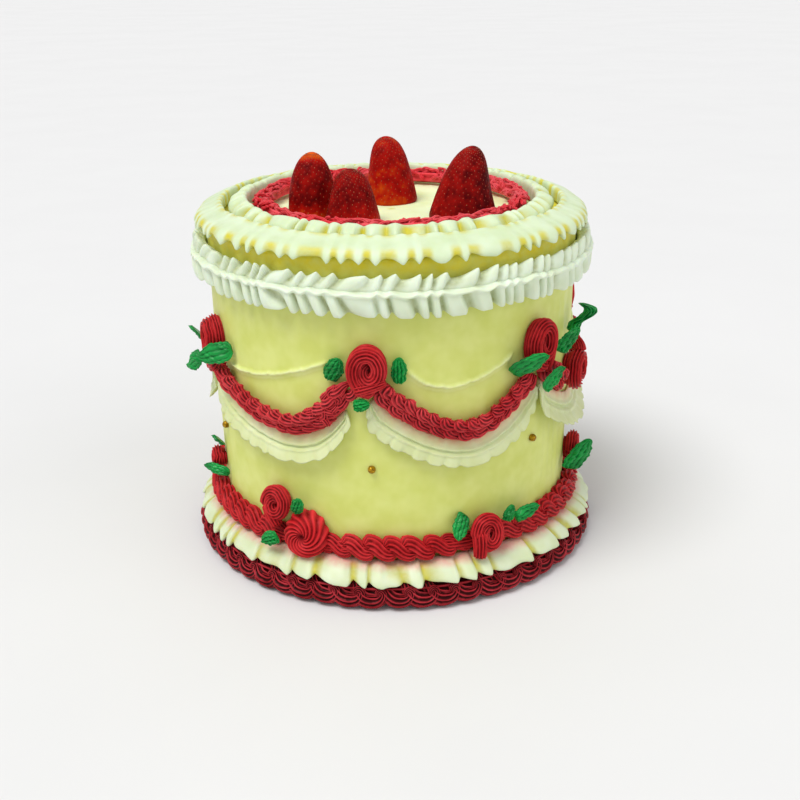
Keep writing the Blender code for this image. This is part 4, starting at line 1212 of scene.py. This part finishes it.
def pip_spiral(k, count):
    """The turn and the share of height of each pip of a berry."""
    turn = np.arange(count) * GOLDEN_ANGLE + 0.6 * k
    draw = np.random.RandomState(90 + k)
    turn = turn + draw.uniform(-0.05, 0.05, count)
    part = 0.04 + 0.94 * np.sin(np.linspace(0.02, 1, count) * math.pi / 2) ** 1.15
    return turn, np.clip(part + draw.uniform(-0.008, 0.008, count), 0.03, 0.985)


def dimpled(flat, places, centre):
    """Skin points pressed in near each pip, and how deep."""
    depth = np.zeros(len(flat))
    for place in places:
        away = np.linalg.norm(flat - place, axis=1)
        depth = np.maximum(depth, np.exp(-(away / DIMPLE_WIDTH) ** 2))
    inward = centre - flat
    inward /= np.linalg.norm(inward, axis=1)[:, None]
    return flat + inward * DIMPLE_DEPTH * depth[:, None], depth


print("a berry 30 mm wide gets", int(PIPS_PER_MM * 30), "pips")

# %% [markdown]
# The skin is a net of 100 rows with 160 points in each, fine enough for the dimples. A real pip lies
# flat with its tip upward. Pips could be turned by the normals of the mesh, but these shake with the
# dimples, so each is turned by the smooth form of the berry below it.

# %% A strawberry and its pips
PIP_LENGTH = 0.72


def pips_on(k, berry, turn, part, places):
    """One pip on each place, turned to the skin with its tip upward."""
    step = 0.004
    du = berry_points(turn + step, part, *berry) - places
    dv = berry_points(turn, np.clip(part + step, 0, 1), *berry) - places
    facing = np.cross(du, dv)
    facing /= np.linalg.norm(facing, axis=1)[:, None]
    upward = dv / np.linalg.norm(dv, axis=1)[:, None]
    mesh = bpy.data.meshes.new(f"berry_pips_{k + 1}")
    mesh.from_pydata(((places - facing * 0.12) * MM).tolist(), [], [])
    mark_points(mesh, {"facing": facing, "upward": upward})
    pips = into_scene(f"berry_pips_{k + 1}", mesh)
    run_tree(pips, PIPS, {"Pip length": PIP_LENGTH * MM, "Seed": 5 + k, "Shell": PIP_SHELL})
    finish_piece(pips, PIP_SHELL, [])


def strawberry(k, berry, ripeness):
    x, y, width, tall = berry[:4]
    # Rows are spread evenly along the rounded side.
    part = 1.0 - (1.0 - np.sin(np.linspace(0, 1, 100) * math.pi / 2)) ** 1.25
    p, t = np.meshgrid(part, np.arange(160) * 2 * math.pi / 160, indexing="ij")
    net = berry_points(t, p, *berry)
    pip_turn, pip_part = pip_spiral(k, int(PIPS_PER_MM * width))
    places = berry_points(pip_turn, pip_part, *berry)
    flat, depth = dimpled(net.reshape(-1, 3), places, np.array([x, y, BODY_TOP + tall * 0.35]))
    ripe = np.clip(ripeness(t, p).reshape(-1) - 0.15 * depth, 0, 1).reshape(p.shape)
    skin = net_object(f"berry_skin_{k + 1}", flat.reshape(net.shape), attributes={"ripe": ripe})
    finish_piece(skin, STRAWBERRY_SKIN, [f"strawberry_{k + 1}"])
    pips_on(k, berry, pip_turn, pip_part, places)


print("a pip is", PIP_LENGTH, "mm long")

# %% [markdown]
# One is orange at its tip, two are paler towards the side that was shaded, and the last is nearly
# black-red. One berry could be scaled for all four, but no two grow alike, so each has its own row of
# numbers for width, height, lean and taper, and its own small rule for how ripe it is.

# %% Strawberries
# x, y, width, height, lean of the tip, taper, and the power of the shoulder.
BERRIES = [
    (-42.2, -12.0, 26.4, 33.5, (0.5, 1.0), 0.15, 3.2),
    (-20.0, -32.6, 31.2, 28.4, (-1.0, 0.5), 0.48, 8.0),
    (0.0, 21.0, 30.4, 36.0, (-2.5, 1.0), 0.45, 8.0),
    (37.9, -21.8, 37.5, 37.4, (4.6, 0.5), 0.60, 8.0),
]


def ripe_first(turn, part):
    return 0.80 - 0.85 * np.clip((part - 0.84) / 0.16, 0, 1) - 0.6 * np.clip(0.24 - part, 0, 1) / 0.24


def ripe_second(turn, part):
    right = 0.5 + 0.5 * np.cos(turn - math.radians(-40))
    return 0.80 - 0.35 * right ** 3 * np.clip(0.5 - part, 0, 1) / 0.5


def ripe_third(turn, part):
    left = 0.5 - 0.5 * np.cos(turn - math.radians(30))
    return 0.68 - 0.45 * left * np.clip(0.8 - part, 0, 1) / 0.8 - 0.2 * np.clip(part - 0.85, 0, 1) / 0.15


def ripe_fourth(turn, part):
    edge = 0.5 + 0.5 * np.cos(turn - math.radians(-150))
    return 1.0 - 0.25 * edge ** 2


RIPENESS = (ripe_first, ripe_second, ripe_third, ripe_fourth)
for k, (berry, ripeness) in enumerate(zip(BERRIES, RIPENESS)):
    strawberry(k, berry, ripeness)

# %% [markdown]
# A plain pale table with no edge in sight. A single grey could do, but faint clouds and a slightly
# uneven shine keep it from looking like paper.

# %% Table
def table(size=14.0, z=-0.0002):
    """Sizes in metres; its top is a hair below the cake, so that the two don't flicker."""
    mesh = bpy.data.meshes.new("table")
    mesh.from_pydata([(-size, -size, z), (size, -size, z), (size, size, z), (-size, size, z)], [],
                     [(0, 1, 2, 3)])
    mesh.materials.append(two_tones("pale_table", 240.0, 3.0, "#e4e4e4", "#e1e1e1", 0.55, 0.65))
    into_scene("table", mesh)
    print("table", 2 * size, "m wide")


table()

# %% [markdown]
# Plain studio light: one large soft light from high on the left of the camera, a weak one from the
# right, and pale surroundings that keep the shadows soft. Area lights would fall off across the
# table. Suns with a wide angle give the same soft shadows and an even table.

# %% Light
def soft_sun(name, towards, strength, spread):
    data = bpy.data.lights.new(name, "SUN")
    data.energy = strength
    data.angle = math.radians(spread)
    into_scene(name, data).rotation_euler = Vector(towards).to_track_quat("-Z", "Y").to_euler()
    print(name, strength)


soft_sun("window_light", (0.40, 0.34, -1.0), 2.08, 30.0)
soft_sun("fill_light", (-0.8, 0.5, -0.6), 0.55, 60.0)

world = bpy.data.worlds.new("studio")
bpy.context.scene.world = world
world.use_nodes = True
plug(world.node_tree, world.node_tree.nodes["Background"], {"Color": (1.0, 1.0, 1.0, 1.0), "Strength": 0.54})
bpy.context.scene.view_settings.view_transform = "Standard"

# %% [markdown]
# The camera looks down from a little above the top edge. It could be moved by eye until the picture
# fits, but edges of a round cake are ellipses, and they give the place, the tilt and the lens. The
# numbers below come from such a fit.

# %% Camera
# Its place is in metres, its angles are in degrees, and its lens is in mm.
CAMERA_PLACE = (0.0, -0.59699, 0.31692)
CAMERA_PITCH, CAMERA_ROLL, CAMERA_YAW = 22.441, -0.648, 0.342
CAMERA_LENS = 49.46


def camera():
    pitch, roll, yaw = math.radians(CAMERA_PITCH), math.radians(CAMERA_ROLL), math.radians(CAMERA_YAW)
    forward = Vector((math.sin(yaw) * math.cos(pitch), math.cos(yaw) * math.cos(pitch), -math.sin(pitch)))
    right = Vector((math.cos(yaw), -math.sin(yaw), 0.0))
    up = right.cross(forward)
    across = math.cos(roll) * right + math.sin(roll) * up
    upward = -math.sin(roll) * right + math.cos(roll) * up
    data = bpy.data.cameras.new("camera")
    data.lens = CAMERA_LENS
    data.sensor_width = 36.0
    obj = into_scene("camera", data)
    turned = Matrix((across, upward, -forward)).transposed().to_4x4()
    obj.matrix_world = Matrix.Translation(CAMERA_PLACE) @ turned
    bpy.context.scene.camera = obj
    print("camera lens", CAMERA_LENS)


camera()

# %% [markdown]

# %% The end
print("the cake is dressed")
